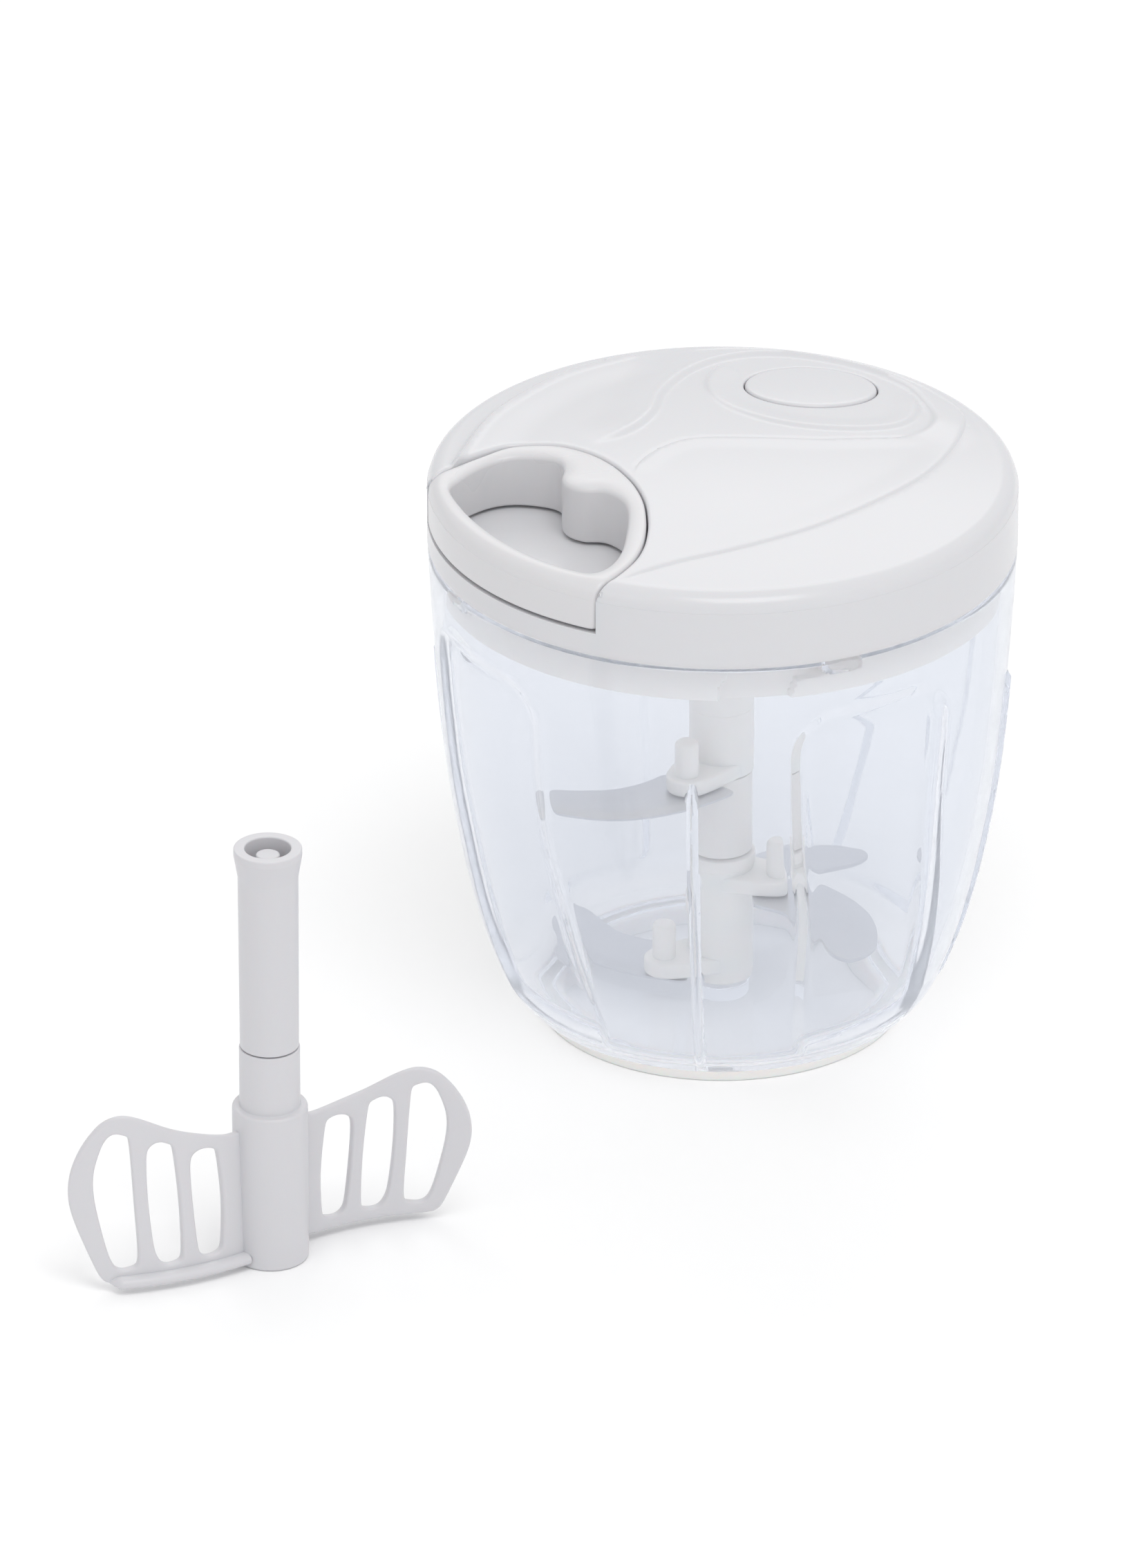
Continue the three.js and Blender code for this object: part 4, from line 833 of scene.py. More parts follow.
def lidHeight(plan):
    # Height of the lid's outside over a place in plan
    size = lidSizes
    radius = radii(plan)
    edgeStart = size["topRadius"] - size["edgeRounding"]
    across = np.clip((radius - edgeStart) / (size["edgeRounding"] + size["edgeOverhang"]), 0, 1)
    dome = size["edge"] + size["rise"] * (1 - (radius / edgeStart) ** 2)
    corner = size["edge"] - size["edgeRounding"] * (1 - np.sqrt(np.clip(1 - across ** 2, 0, 1)))
    slope = 2 * size["rise"] / edgeStart
    before, after = size["edgeBlend"]
    blend = smoothStep(edgeStart - before, edgeStart + after, radius)
    return np.where(radius < edgeStart, dome, corner) - size["edgeEase"] * slope * blend * (1 - across)


def turned(points, angle):
    c, s = math.cos(angle), math.sin(angle)
    points = np.asarray(points, float)
    return np.column_stack([points[:, 0] * c - points[:, 1] * s, points[:, 0] * s + points[:, 1] * c])


# Relief lines seen from above. Kind "step" raises the ground on one side, and "crease" is a fine valley.
reliefLines = [
    {"kind": "step", "side": -1, "height": 0.9, "width": 1.8, "back": 13, "bead": 0.8, "fadeEnd": 0.1, "line": [
        (-62, -4), (-59, -1), (-52, 20), (-45, 32), (-35, 44), (-25, 51), (-15, 56.5)]},
    {"kind": "step", "side": 1, "height": 0.95, "width": 2.0, "back": 13, "bead": 0.15, "fadeEnd": 0.1, "line": [
        (-29, 5), (-20, 11), (-15, 20), (-13, 30), (-10, 38), (-6, 45), (0, 51), (8, 54.5), (18, 54), (30, 48.5),
        (40, 39), (44, 30), (46, 22), (45, 17), (42, 13), (38, 11)]},
    {"kind": "crease", "side": 1, "height": 0.4, "width": 1.1, "back": 6, "fadeEnd": 0.08, "line": [
        (42, 13), (38, 10.5), (28, 8.5), (20, 7.3), (10, 7.3), (0, 7.5), (-8, 6.5), (-14, 2), (-18, -4), (-19.5, -10)]},
    {"kind": "step", "side": 1, "height": 0.6, "width": 1.6, "back": 7, "bead": 0.1, "fadeEnd": 0.1, "line": [
        (5, 50), (0, 48), (-3, 40), (-3, 33), (0, 25), (5, 19.5), (12, 15), (20, 12.8), (30, 13), (38, 16), (42, 22),
        (42.5, 30), (40, 37)]},
    {"kind": "crease", "side": 1, "height": 0.4, "width": 1.1, "back": 8, "fadeEnd": 0.08, "line": [
        (-24, -57), (-20, -54), (-10, -49), (0, -45), (10, -40), (20, -33.5), (30, -24.5), (40, -13), (46, -3),
        (51, 10), (53, 20), (52, 28), (48, 37)]},
]
for relief in reliefLines:
    relief["curve"] = smoothLine(relief["line"], 1.0)


def reliefHeight(plan):
    rise = np.zeros(len(plan))
    for relief in reliefLines:
        distance, side, place = nearest(plan, relief["curve"])
        across = distance * side * relief["side"]
        fade = smoothStep(0, relief["fadeEnd"], place) * smoothStep(0, relief["fadeEnd"], 1 - place)
        fade = np.where((place <= 0) | (place >= 1), 0, fade)
        half = relief["width"] / 2
        bank = smoothStep(-half, half, across) * (1 - smoothStep(half, relief["back"], across))
        if relief["kind"] == "step":
            shape = bank + relief["bead"] * np.exp(-((across - half) / (0.5 * relief["width"])) ** 2)
        else:
            shape = 0.6 * (bank - np.clip(1 - np.abs(across) / half, 0, 1))
        rise += relief["height"] * fade * shape
    return rise


def reliefPoints():
    # Points along the relief lines, the middle row of each first, with no two in one cell
    cellSize, reach = 0.3, 59
    keep, cells = [], set()
    for relief in reliefLines:
        across = inward(relief["curve"])[1:-1]
        for shift in (0, -1.0, 1.0, -0.5, 0.5):
            for x, y in relief["curve"][1:-1] + across * shift * relief["width"] / 2 * 1.2:
                cell = (round(x / cellSize), round(y / cellSize))
                if cell not in cells and math.hypot(x, y) < reach:
                    cells.add(cell)
                    keep.append((x, y))
    return np.array(keep)


def dockAndRim():
    # The dock's edge cut at the rim, with the two arcs that complete it either way round
    size = lidSizes
    edge = turned(smoothLine(dockEdge, 0.5), pullTurn)
    radius = radii(edge)
    inside = np.where(radius < size["sideRadius"])[0]
    edge = edge[inside[0]:inside[-1] + 1]
    start, end = (math.atan2(y, x) for x, y in edge[[0, -1]])
    edge[[0, -1]] = onCircle(size["sideRadius"], np.array([start, end]))
    return edge, start, end


def rimArc(start, end, spacing=0.7):
    r = lidSizes["sideRadius"]
    return onCircle(r, np.linspace(start, end, max(2, int(abs(end - start) * r / spacing)) + 1))


def edgeLoop(edge, arc):
    # The dock's edge closed by an arc of the rim, anticlockwise, with 1 for the points on the rim and 0 for the others
    loop = np.vstack([edge[:-1], arc[:-1]])
    onRim = np.repeat([0.0, 1.0], [len(edge) - 1, len(arc) - 1])
    return (loop, onRim) if loopArea(loop) > 0 else (loop[::-1], onRim[::-1])


def edgeArcs(start, end):
    # Close rings of points where the lid's edge is rounded
    angles = np.arange(start, end, math.radians(0.643))
    return np.vstack([onCircle(r, angles) for r in lidSizes["edgeRings"]])


def ovalLoop(grow=0.0, turnWay=1):
    # The button's outline, grown by a gap
    turns = np.linspace(0, 2 * math.pi, 160, endpoint=False) * turnWay
    return lidSizes["button"] + (np.array(lidSizes["buttonHalves"]) + grow) * onCircle(1, turns)


def makeCover():
    size, wholeTurn = lidSizes, 2 * math.pi
    edge, start, end = dockAndRim()
    # The dock's edge runs from the back-left rim to the front rim, so the long way round is anticlockwise
    longArc = rimArc(end, end + (start - end) % wholeTurn)
    shortArc = rimArc(start, start + (end - start) % wholeTurn)
    upper, onRim = edgeLoop(edge, longArc)
    hole = ovalLoop(size["gap"], -1)
    weight = np.concatenate([1 - onRim, np.full(len(hole), size["openingRounding"] / size["dockRounding"])])
    wellReach, wellDepth = size["buttonWell"]

    def top(plan):
        return lidHeight(plan) + reliefHeight(plan) * (1 - smoothStep(*size["reliefFade"], radii(plan)))

    def bottom(plan):
        return np.where(radii(plan - size["button"]) < wellReach, lidHeight(plan) - wellDepth, size["dockFloor"])

    dome = roundedSlab([upper, hole], top, bottom, size["dockRounding"], 0, 0.85, weight, 4,
                       np.vstack([reliefPoints(), edgeArcs(0, wholeTurn)]), openBelow=True)
    # The dock's floor, inside the edge and the short way round the rim
    plan, triangles = fillRegion([np.vstack([edge[:0:-1], shortArc[:-1]])], 2.0)
    floor = (np.column_stack([plan, np.full(len(plan), size["dockFloor"])]), triangles)
    # The side below the dock's floor, all the way round
    ring = np.vstack([longArc[:-1], shortArc[:-1]])
    side = [(0, size["dockFloor"]), *size["lowerSide"], (size["sideDraft"], size["sideBottom"])]
    lower = [np.column_stack([ring * (1 - shift / size["sideRadius"]), np.full(len(ring), height)])
             for shift, height in side]
    points, faces = joinShapes(dome, floor, (np.vstack(lower), gridFaces(len(side), len(ring))))
    piece = newObject("lid_shell", points, faces, 35)
    # The wall thins toward the two sharp corners where the dock meets the rim
    plan = np.array([v.co[:2] for v in piece.data.vertices]) / millimetre
    near = np.min([radii(plan - corner) for corner in edge[[0, -1]]], axis=0)
    share = np.round(np.clip(near / size["cornerReach"], 0, 1), 1)
    thinning = piece.vertex_groups.new(name="wallShare")
    for level in np.unique(share):
        thinning.add([int(i) for i in np.where(share == level)[0]], float(level), "REPLACE")
    solid = piece.modifiers.new("wall", "SOLIDIFY")
    solid.thickness = size["wall"] * millimetre
    solid.offset = -1
    solid.use_even_offset = False
    solid.vertex_group = thinning.name
    solid.thickness_vertex_group = size["cornerShare"]
    mesh = evaluatedMesh(piece)
    piece.modifiers.clear()
    piece.vertex_groups.clear()
    piece.data = mesh
    settle(piece, bowlAxis, "lid", lidPlastic, ["lid_cover"], 35)


makeCover()
print("lid cover ready")

# Pull handle, a rounded ring that fills the dock and lets the fingers through

handleSizes = {"bottom": 118.1, "gap": 0.35, "rounding": 0.8, "topFrom": 122,
               "sinkReach": 3.74, "sink": 0.935, "arc": (165, 300), "rimEase": (1.2, 0.3)}
# The finger opening in the handle's own frame, with the cord's boss standing into it
fingerEdge = [
    (54.0, -25.5), (50.5, -27.6), (46.0, -28.9), (40.4, -29.4), (35.5, -27.8), (31.2, -23.6), (29.5, -19.6),
    (31.0, -15.6), (33.8, -12.3), (34.8, -8.4), (33.4, -4.4), (30.2, -1.8), (29.2, 2.2), (29.8, 6.4), (32.4, 11.2),
    (37.2, 17.4), (42.2, 22.8), (47.4, 26.0), (51.8, 25.8), (55.0, 20.5), (57.6, 12.0), (58.8, 2.0), (58.4, -8.0),
    (56.8, -17.0)]


def makeHandle():
    size = handleSizes
    edge, start, end = dockAndRim()
    loop, onRim = edgeLoop(edge[::-1], rimArc(start, start + (end - start) % (2 * math.pi), 0.5))
    # Drawn in by the running gap along the dock, and rounded where it meets the rim
    loop = softened(loop + inward(loop) * (size["gap"] * (1 - onRim))[:, None], 10)
    rimShare = smoothStep(*(lidSizes["sideRadius"] - np.array(size["rimEase"])), radii(loop))
    opening = softened(closedLoop(turned(fingerEdge, pullTurn), 0.5, -1), 3)
    points, faces = roundedSlab([loop, opening], lidHeight, flat(size["bottom"]), size["rounding"], size["rounding"],
                                0.8, np.concatenate([1 - rimShare, np.ones(len(opening))]), 4,
                                edgeArcs(*np.radians(size["arc"])))
    # Softer edges round the opening: the top sinks toward it
    share = np.clip(nearest(points[:, :2], opening, closed=True)[0] / size["sinkReach"], 0, 1)
    points[:, 2] -= np.where(points[:, 2] > size["topFrom"], size["sink"] * (1 - share) ** 2, 0)
    settle(newObject("handle_grip", points, faces), bowlAxis, "handle", handlePlastic, ["pull_handle"])


makeHandle()
print("handle ready")

# Oval button with its crown

buttonSizes = {"crown": 0.55, "crownFall": 0.55, "rounding": 0.7, "thickness": 3.0, "stemRadius": 2.6,
               "stemBottom": 111.3, "stemSink": 0.4}


def makeButton():
    size, centre = buttonSizes, np.array(lidSizes["button"])
    under = lidHeight(centre[None])[0] - size["thickness"]

    def top(plan):
        across = radii((plan - centre) / lidSizes["buttonHalves"])
        return lidHeight(plan) + size["crown"] * (1 - size["crownFall"] * across ** 2)

    cap = roundedSlab([ovalLoop()], top, flat(under), size["rounding"], 0.3, 0.9)
    radius, bottom, stemTop = size["stemRadius"], size["stemBottom"], under + size["stemSink"]
    stem = lathed([(0, bottom, 0), (radius, bottom, 0.3), (radius, stemTop, 0), (0, stemTop, 0)], 3, 48)
    points, faces = joinShapes(cap, (stem[0] + (*centre, 0), stem[1]))
    settle(newObject("oval_button", points, faces), bowlAxis, "button", lidPlastic, ["vent_button"])


makeButton()
print("button ready")

# Lid base: the skirt inside the bowl with its bayonet tracks, and the plate over the bowl

baseSizes = {
    "skirtRadius": 60.5, "skirtWall": 2.8, "skirtBottom": 103.4, "neckRadius": 59.9, "neckBottom": 111.6,
    "plateBottom": 113.6, "plateTop": 115.6, "plateRadius": 61.9, "wellRadius": 20.0, "wellWall": 1.5,
    "wellFloor": 108.3, "bore": 6.5, "boreSeam": 107.0, "collar": 9.0, "collarBottom": 105.1, "trackDepth": 1.4,
    "trackRoof": [(-1.5, 106.0), (2.0, 111.3), (28.5, 111.5)], "trackEdge": 0.55,
    "trackFloor": [(12.0, 100.0), (13.0, 103.0), (14.5, 107.2), (20.0, 107.7)], "trackEnds": (-1.5, 28.6),
    "skirtRows": (104.3, 111.5, 0.35), "perDegree": 1.05,
}


def trackDepth(turn, height):
    # The bayonet track in the skirt: an entry from below that rises and runs on to the lug's seat
    size = baseSizes
    local = (turn + 45) % 90 - 45
    first, last = size["trackEnds"]
    roof, ground = tableValue(size["trackRoof"], local), tableValue(size["trackFloor"], local)
    edges = np.min([(local - first) * size["perDegree"], (last - local) * size["perDegree"], roof - height,
                    height - ground], axis=0)
    return size["trackDepth"] * smoothStep(0, size["trackEdge"], edges)


def makeLidBase():
    size = baseSizes
    skirt, bore, collar, neck = picked(size, "skirtRadius bore collar neckRadius")
    skirtBottom, collarBottom, boreSeam, neckBottom = picked(size, "skirtBottom collarBottom boreSeam neckBottom")
    well, wellFloor, wellWall, skirtWall = picked(size, "wellRadius wellFloor wellWall skirtWall")
    plate, plateTop, plateBottom = picked(size, "plateRadius plateTop plateBottom")
    profile = [*roundedProfile([
        (bore, boreSeam, 0), (bore, collarBottom, 0.3), (collar, collarBottom, 0.6),
        (collar, wellFloor - wellWall, 0.6), (well + wellWall, wellFloor - wellWall, 0.8),
        (well + wellWall, plateBottom, 0.8), (skirt - skirtWall, plateBottom, 0.8),
        (skirt - skirtWall, skirtBottom, 0.5), (skirt, skirtBottom, 0.7)], 4)]
    # Close rows where the bayonet tracks are
    profile += [(skirt, z) for z in np.arange(*size["skirtRows"])]
    profile += [(skirt - 0.15, size["skirtRows"][1]), (neck, neckBottom)]
    profile += [*roundedProfile([
        (neck, neckBottom + 0.3, 0), (neck, plateBottom, 0.2), (plate, plateBottom, 0.2), (plate, plateTop, 0.3),
        (well, plateTop, 0.4), (well, wellFloor, 0.4), (bore, wellFloor, 0.3), (bore, boreSeam, 0)], 3)]
    points, faces = latheMesh(profile, 720)
    radius, height = radii(points), points[:, 2]
    turn = np.degrees(np.arctan2(points[:, 1], points[:, 0])) + 90
    onSkirt = (radius > skirt - 1.0) & (height < neckBottom + 0.1)
    cut = np.where(onSkirt, trackDepth(turn, height), 0)
    points[:, :2] *= ((radius - cut) / radius)[:, None]
    settle(newObject("lid_skirt", points, faces, 50), bowlAxis, "lid", shaftPlastic, ["lid_base"], 50)


makeLidBase()
print("lid base ready")

# Blade shaft, lug plates, pegs and blades

shaftSizes = {
    "hub": 7.1, "tube": 6.8, "top": 103.9, "upperBottom": 57.0, "lowerTop": 37.3, "lowerBottom": 6.9, "collar": 7.5,
    "collarBottom": 34.0, "spigot": 4.4, "spigotLength": 7.0, "socket": 4.4, "socketDepth": 13.0, "seam": 72.5,
    "pinHole": 2.8, "pinTop": 22.3, "bore": 2.2, "boreSeam": 60.0, "tubeBore": 4.7, "tubeSeam": 45.0,
    "groove": 0.12, "tubeGap": 0.3,
}
# Height of each lug plate's underside, and where its plate and its blade point
stations = [
    {"under": 57.0, "plate": -125, "blade": -124, "reach": 43.4},
    {"under": 29.5, "plate": -20, "blade": -16, "reach": 46.4},
    {"under": 19.5, "plate": 80, "blade": 82, "reach": 46.4},
    {"under": 9.5, "plate": -159, "blade": -180, "reach": 43.4},
]
bladeOutline = [
    (0.182, 0.018), (0.175, 0.187), (0.311, 0.166), (0.447, 0.115), (0.548, 0.058), (0.641, -0.007), (0.72, -0.085),
    (0.78, -0.168), (0.835, -0.29), (0.864, -0.424), (0.851, -0.516), (0.815, -0.585), (0.765, -0.612),
    (0.682, -0.567), (0.608, -0.449), (0.528, -0.339), (0.417, -0.258), (0.3, -0.215), (0.22, -0.19), (0.175, -0.078)]
lugOutline = [(0, 6.6), (8.0, 6.0), (12.0, 5.3), (15.0, 4.3), (17.1, 2.4), (17.8, 0), (17.1, -2.4), (15.0, -4.3),
              (12.0, -5.3), (8.0, -6.0), (0, -6.6), (-5.5, -3.5), (-6.4, 0), (-5.5, 3.5)]
plateSizes = {"thick": 3.6, "peg": 13.3, "pegRadius": 2.6, "pegHeight": 8.2, "pegFoot": 1.5, "rounding": 0.7,
              "bladeThick": 0.9, "longReach": 46.4, "gap": 0.3, "grindShare": 0.42, "grindReach": (0.2, 3.4),
              "pegBelow": 0.6, "pegSink": 0.05}


def stationAt(radius, degrees, height, size=1.0):
    turn = math.radians(degrees)
    return radius * math.cos(turn), radius * math.sin(turn), height, turn, size


def atStations(name, pattern, places, body, material, nodes, sharpDegrees=40):
    # One copy at each vertex, with the turn and the size that the vertex holds
    mesh = bpy.data.meshes.new(name)
    mesh.from_pydata([tuple(v * millimetre for v in place[:3]) for place in places], [], [])
    for label, column in (("turn", 3), ("size", 4)):
        attribute = mesh.attributes.new(label, "FLOAT", "POINT")
        attribute.data.foreach_set("value", [float(place[column]) for place in places])
    piece = runTree(linked(name, mesh), stationCopies, Piece=pattern, Material=material)
    bpy.data.objects.remove(pattern)
    cleanMesh(piece.data, sharpDegrees)
    settle(piece, bowlAxis, body, material, nodes, sharpDegrees)


def lugPlate(station):
    size = plateSizes
    loop = closedLoop(turned(lugOutline, math.radians(station["plate"])), 0.5)
    return roundedSlab([loop], flat(station["under"] + size["thick"]), flat(station["under"]), size["rounding"],
                       size["rounding"], 1.2)


def makeShaft():
    size = shaftSizes
    hub, tube, collar, spigot, socket, bore = picked(size, "hub tube collar spigot socket bore")
    top, seam, upperBottom, lowerTop = picked(size, "top seam upperBottom lowerTop")
    lowerBottom, collarBottom, pinHole, pinTop = picked(size, "lowerBottom collarBottom pinHole pinTop")
    spigotBottom, spigotTop = upperBottom - size["spigotLength"], lowerTop + size["spigotLength"]
    tubeBore, tubeSeam, tubeGap, groove = picked(size, "tubeBore tubeSeam tubeGap groove")
    socketFloor, tubeBottom, tubeTop = top - size["socketDepth"], lowerTop + tubeGap, upperBottom - tubeGap
    upper = lathed([
        (bore, size["boreSeam"], 0), (bore, spigotBottom, 0.2), (spigot, spigotBottom, 0.4), (spigot, upperBottom, 0.1),
        (hub, upperBottom, 0.5), (hub, seam - groove, 0.08), (hub - groove, seam, 0), (hub, seam + groove, 0.08),
        (hub, top, 0.7), (socket, top, 0.4), (socket, socketFloor, 0.2), (bore, socketFloor, 0.2),
        (bore, size["boreSeam"], 0)], 5)
    lower = lathed([
        (0, pinTop, 0), (pinHole, pinTop, 0.2), (pinHole, lowerBottom, 0.3), (hub, lowerBottom, 0.6),
        (hub, collarBottom, 0.2), (collar, collarBottom + 0.3, 0.3), (collar, lowerTop - 0.3, 0.3),
        (spigot, lowerTop, 0.2), (spigot, spigotTop, 0.4), (0, spigotTop, 0)], 4)
    middle = lathed([
        (tubeBore, tubeSeam, 0), (tubeBore, tubeBottom, 0.2), (tube, tubeBottom, 0.3), (tube, tubeTop, 0.3),
        (tubeBore, tubeTop, 0.2), (tubeBore, tubeSeam, 0)], 4)
    plates = [lugPlate(station) for station in stations]
    for name, shapes, material, slotName, node in (
            ("upper_shaft", (upper, plates[0]), shaftPlastic, "white_plastic", "upper_hub"),
            ("lower_shaft", (lower, *plates[1:]), shaftPlastic, "white_plastic", "lower_hub"),
            ("shaft_tube", (middle,), ivoryPlastic, "ivory_plastic", "middle_tube")):
        settle(newObject(name, *joinShapes(*shapes)), bowlAxis, "blades", material, [node])


def makePegs():
    size = plateSizes
    radius, height, foot, thick = size["pegRadius"], size["pegHeight"], size["pegFoot"], size["thick"]
    below, sink = -size["gap"] - size["bladeThick"] - size["pegBelow"] - thick, size["pegSink"]
    peg = lathed([(0, below, 0), (foot, below, 0.2), (foot, -sink, 0), (radius, -sink, 0.1), (radius, height, 1.6),
                  (0, height, 0)], 7, 48)
    places = [stationAt(size["peg"], station["plate"], station["under"] + thick) for station in stations]
    atStations("blade_pegs", newObject("pegPattern", *peg), places, "blades", shaftPlastic,
               ["peg_upper", "peg_right", "peg_rear", "peg_left"])


def makeBlades():
    size = plateSizes
    reach, thick = size["longReach"], size["bladeThick"]
    # The outer, leading edge is ground thin
    grind = smoothLine(np.array(bladeOutline[1:11]) * reach, 0.8)

    def top(plan):
        return -size["grindShare"] * thick * (1 - smoothStep(*size["grindReach"], nearest(plan, grind)[0]))

    pattern = newObject("bladePattern", *roundedSlab([closedLoop(np.array(bladeOutline) * reach, 0.5)], top,
                                                     flat(-thick), 0.06, 0.06, 0.8, None, 2), 25)
    places = [stationAt(0, s["blade"], s["under"] - size["gap"], s["reach"] / reach) for s in stations]
    atStations("steel_blades", pattern, places, "blades", bladeSteel,
               ["blade_upper", "blade_right", "blade_rear", "blade_left"], 25)


makeShaft()
makePegs()
makeBlades()
print("blade shaft ready")

# Mixing paddle: hub with two slotted wings, and its tube

paddleSizes = {
    "hub": 8.1, "shoulder": 36.5, "neck": 6.5, "seam": 50.7, "top": 97.6, "flare": 7.3, "tubeFoot": 6.3,
    "tubeWaist": 6.45, "socket": 4.9, "socketDepth": 8.0, "key": 2.6, "keyDrop": 1.5, "pinHole": 2.8, "pinTop": 22.0,
    "spigot": 4.4, "spigotLength": 7.0, "tubeBore": 4.7, "wingReach": 43.0, "wingTop": 39.2, "wingBottom": 1.8,
    "wingThick": 2.0, "wingSweep": 17.2, "wingBend": (0.45, 1.05), "pitch": 0.3, "lipStart": 6.0, "lipEnd": 34.4,
    "lipRows": 60, "lipSides": 16, "lipTaper": (6, 0.25), "lipUp": (2.4, 1.3), "lipDepth": (1.6, 1.9),
    "waistHeight": 91.0, "flareHeight": 96.0, "tubeGap": 0.1, "neckGap": 0.3,
}
wingOutline = [
    (0.1, 0.79), (0.22, 0.80), (0.34, 0.835), (0.48, 0.89), (0.64, 0.975), (0.735, 1.0), (0.822, 0.968),
    (0.893, 0.885), (0.945, 0.79), (0.98, 0.69), (0.995, 0.6), (0.995, 0.52), (0.98, 0.43), (0.95, 0.33),
    (0.915, 0.23), (0.878, 0.13), (0.845, 0.05), (0.815, 0.014), (0.77, 0.004), (0.6, 0.004), (0.4, 0.004),
    (0.16, 0.004), (0.105, 0.05), (0.1, 0.2), (0.1, 0.4), (0.1, 0.6)]
wingSlots = [
    [(0.265, 0.7), (0.29, 0.74), (0.33, 0.752), (0.375, 0.735), (0.397, 0.68), (0.39, 0.47), (0.365, 0.17),
     (0.345, 0.1), (0.31, 0.078), (0.265, 0.09), (0.245, 0.13), (0.24, 0.4)],
    [(0.48, 0.77), (0.505, 0.81), (0.55, 0.83), (0.59, 0.81), (0.61, 0.75), (0.605, 0.5), (0.58, 0.22), (0.555, 0.12),
     (0.52, 0.08), (0.465, 0.085), (0.44, 0.13), (0.45, 0.45)],
    [(0.695, 0.84), (0.72, 0.885), (0.765, 0.9), (0.8, 0.88), (0.835, 0.81), (0.87, 0.66), (0.865, 0.5), (0.82, 0.26),
     (0.785, 0.13), (0.75, 0.082), (0.69, 0.085), (0.655, 0.13), (0.67, 0.45)],
]


def wingPlace(along, up, depth):
    # A place on the swept wing: along it seen from the front, up, and through its thickness
    size = paddleSizes
    reach, sweep, (bendStart, bendEnd) = size["wingReach"], size["wingSweep"], size["wingBend"]
    t = np.linspace(0, 1.15, 400)
    curveX = 2 * t * (1 - t) * reach * bendStart + t ** 2 * reach * bendEnd
    curveY = 2 * t * (1 - t) * sweep + t ** 2 * sweep
    y = np.interp(along, curveX, curveY)
    slope = np.interp(along, curveX, np.gradient(curveY, curveX))
    lean = 1 - size["pitch"] * up / size["wingTop"]
    tilt = 1 / np.sqrt(1 + slope ** 2)
    return np.column_stack([along - depth * slope * tilt, (y + depth * tilt) * lean, up])


def wingLoop(outline, turnWay, passes):
    size = paddleSizes
    low, high = size["wingBottom"], size["wingTop"]
    raw = np.array([(a * size["wingReach"], low + u * (high - low)) for a, u in outline])
    return softened(closedLoop(raw, 0.45, turnWay), passes)


def makeWingPattern():
    size = paddleSizes
    loops = [wingLoop(wingOutline, 1, 2)] + [wingLoop(slot, -1, 3) for slot in wingSlots]
    half = size["wingThick"] / 2
    points, faces = roundedSlab(loops, flat(half), flat(-half), 0.55, 0.55, 1.1, None, 3)
    wing = wingPlace(points[:, 0], points[:, 1], -points[:, 2])
    # The lip along the bottom, a rounded bar that the wing stands on
    rows, sides = size["lipRows"], size["lipSides"]
    ring = np.linspace(0, 2 * math.pi, sides, endpoint=False)
    (taperRows, thinnest), (up, halfUp), (depth, halfDepth) = picked(size, "lipTaper lipUp lipDepth")
    lip = []
    for i, along in enumerate(np.linspace(size["lipStart"], size["lipEnd"], rows)):
        taper = min(1.0, (rows - 1 - i) / taperRows + thinnest)
        lip.append(wingPlace(np.full(sides, along), up + halfUp * taper * np.sin(ring),
                             depth * taper + halfDepth * taper * np.cos(ring)))
    return newObject("paddle_whisk", *joinShapes((wing, faces), (np.vstack(lip), tubeFaces(rows, sides, flip=True))))


def makePaddle():
    size = paddleSizes
    hub, neck, spigot, pinHole, pinTop = picked(size, "hub neck spigot pinHole pinTop")
    shoulder, seam, top, spigotTop = size["shoulder"], size["seam"], size["top"], size["seam"] + size["spigotLength"]
    neckTop, boreTop = seam - size["neckGap"], spigotTop + size["tubeGap"]
    wings = runTree(makeWingPattern(), turnedCopies, Copies=2, Weld_Distance=1e-6, Material=paddlePlastic)
    cleanMesh(wings.data, 40)
    body = newObject("hubPattern", *lathed([
        (0, pinTop, 0), (pinHole, pinTop, 0.3), (pinHole, 0, 0.4), (hub, 0, 0.8), (hub, shoulder, 2.6),
        (neck, shoulder, 0.3), (neck, neckTop, 0.25), (spigot, neckTop, 0.1), (spigot, spigotTop, 0.4),
        (0, spigotTop, 0)], 6))
    work = bmesh.new()
    work.from_mesh(wings.data)
    work.from_mesh(body.data)
    work.to_mesh(wings.data)
    work.free()
    bpy.data.objects.remove(body)
    settle(wings, paddleAxis, "paddle", paddlePlastic, ["paddle_body"])
    bore, foot, flare, socket, key = picked(size, "tubeBore tubeFoot flare socket key")
    socketFloor, keyTop = top - size["socketDepth"], top - size["keyDrop"]
    stem = lathed([
        (0, boreTop, 0), (bore, boreTop, 0.2), (bore, seam, 0.2), (foot, seam, 0.25),
        (size["tubeWaist"], size["waistHeight"], 4.0), (flare, size["flareHeight"], 1.2), (flare, top, 0.35),
        (socket, top, 0.4),
        (socket, socketFloor, 0.2), (key, socketFloor, 0.2), (key, keyTop, 0.5), (0, keyTop, 0)], 6)
    settle(newObject("paddle_stem", *stem), paddleAxis, "paddle", paddlePlastic, ["paddle_tube"])


makePaddle()
print("paddle ready")

# Springs and screws inside the lid

springSizes = {
    "recoil": {"Turns": 6.5, "Start Radius": 0.00645, "End Radius": 0.01945, "Rise": 0.0, "Section Width": 0.0007,
               "Section Height": 0.00616, "Steps": 40, "Section Sides": 4},
    "button": {"Turns": 5.0, "Start Radius": 0.0042, "End Radius": 0.0042, "Rise": 0.009, "Section Width": 0.0007,
               "Section Height": 0.0007, "Steps": 28, "Section Sides": 10},
    "recoilMiddle": (0, 0, 112.7), "buttonFoot": (*lidSizes["button"], 116.25),
}


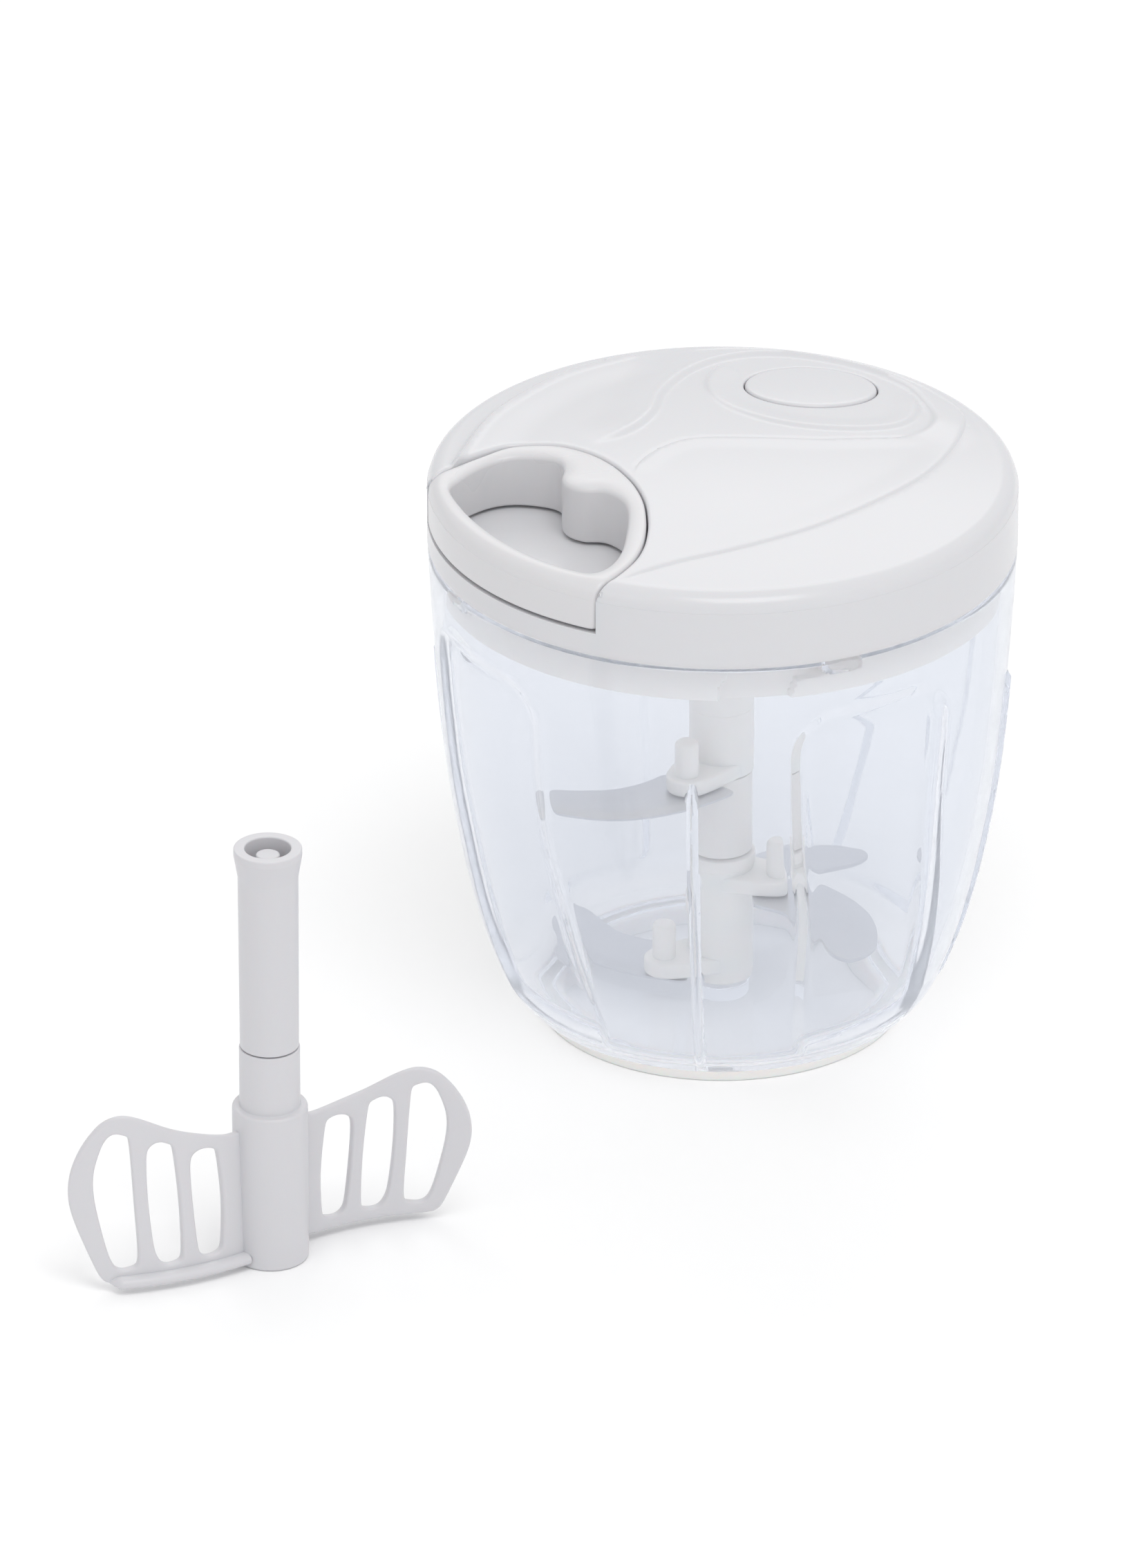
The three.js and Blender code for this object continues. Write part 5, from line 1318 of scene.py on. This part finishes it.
def makeSpring(name, values, place, node):
    spring = newObject(name, np.zeros((1, 3)), [])
    runTree(spring, woundWire, **values, Material=innerSteel)
    spring.data.transform(Matrix.Translation(Vector(place) * millimetre))
    settle(spring, bowlAxis, "lid", innerSteel, [node])


screwSizes = {"circle": 50.0, "turns": (30, 140, 275), "headBottom": 111.8, "headTop": 113.3, "head": 3.0,
              "shank": 1.5, "tip": 124.0, "point": (0.3, 1.5), "recess": (1.1, 1.3), "recessTop": (0.6, 0.7)}


def makeScrews():
    size = screwSizes
    low, high, head, shank, tip = picked(size, "headBottom headTop head shank tip")
    (recess, mouth), (side, middle), (pointRadius, pointLength) = picked(size, "recess recessTop point")
    screw = lathed([
        (0, low + middle, 0), (recess, low + side, 0.1), (mouth, low, 0.2), (head, low, 0.7), (head, high, 0.2),
        (shank, high, 0.1), (shank, tip - pointLength, 0.1), (pointRadius, tip, 0.1), (0, tip, 0)], 4, 32)
    atStations("lid_screws", newObject("screwPattern", *screw),
               [stationAt(size["circle"], degrees, 0) for degrees in size["turns"]], "lid", innerSteel,
               ["lid_screw_1", "lid_screw_2", "lid_screw_3"])


makeSpring("recoil_strip", springSizes["recoil"], springSizes["recoilMiddle"], "recoil_spring")
makeSpring("button_coil", springSizes["button"], springSizes["buttonFoot"], "button_spring")
makeScrews()
print("springs and screws ready")

# Pull cord between the spool and the handle

cordSizes = {"radius": 0.8, "offset": 8.3, "height": 122.0, "start": 6.6, "end": 26.8, "rows": 61, "sides": 20,
             "heldStart": 9.6, "heldEnd": 25.8}


def makeCord():
    size = cordSizes
    rows, sides, offset, height = size["rows"], size["sides"], size["offset"], size["height"]
    section = onCircle(size["radius"], 2 * math.pi * np.arange(sides) / sides) + (-offset, height)
    points = np.array([(along, *spot) for along in np.linspace(size["start"], size["end"], rows) for spot in section])
    points[:, :2] = turned(points[:, :2], pullTurn)
    piece = newObject("pull_cord", points, tubeFaces(rows, sides))
    piece.data.transform(Matrix.Translation((*bowlAxis, 0)))
    piece.data.materials.append(cordBraid)
    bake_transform(piece)
    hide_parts("cord_tail")


makeCord()

# Carried-over nodes get their finishes
nodeFinishes = {
    "pivot_pin": innerSteel, "lid_gasket": footSilicone, "cord_guide": innerSteel, "drive_bush": innerSteel,
    "spring_cover": lidPlastic, "cord_knot": cordBraid, "cord_spool": lidPlastic, "cord_wound": cordBraid,
    "drive_shaft": shaftPlastic, "clutch_disc": ivoryPlastic, "clutch_pawl_1": innerSteel,
    "clutch_pawl_2": innerSteel, "axle_washer": innerSteel, "axle_screw": innerSteel, "vent_seal": footSilicone,
}
for nodeName, finish in nodeFinishes.items():
    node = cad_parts[nodeName]
    node.data.materials.clear()
    node.data.materials.append(finish)
print("cord and carried-over nodes ready")
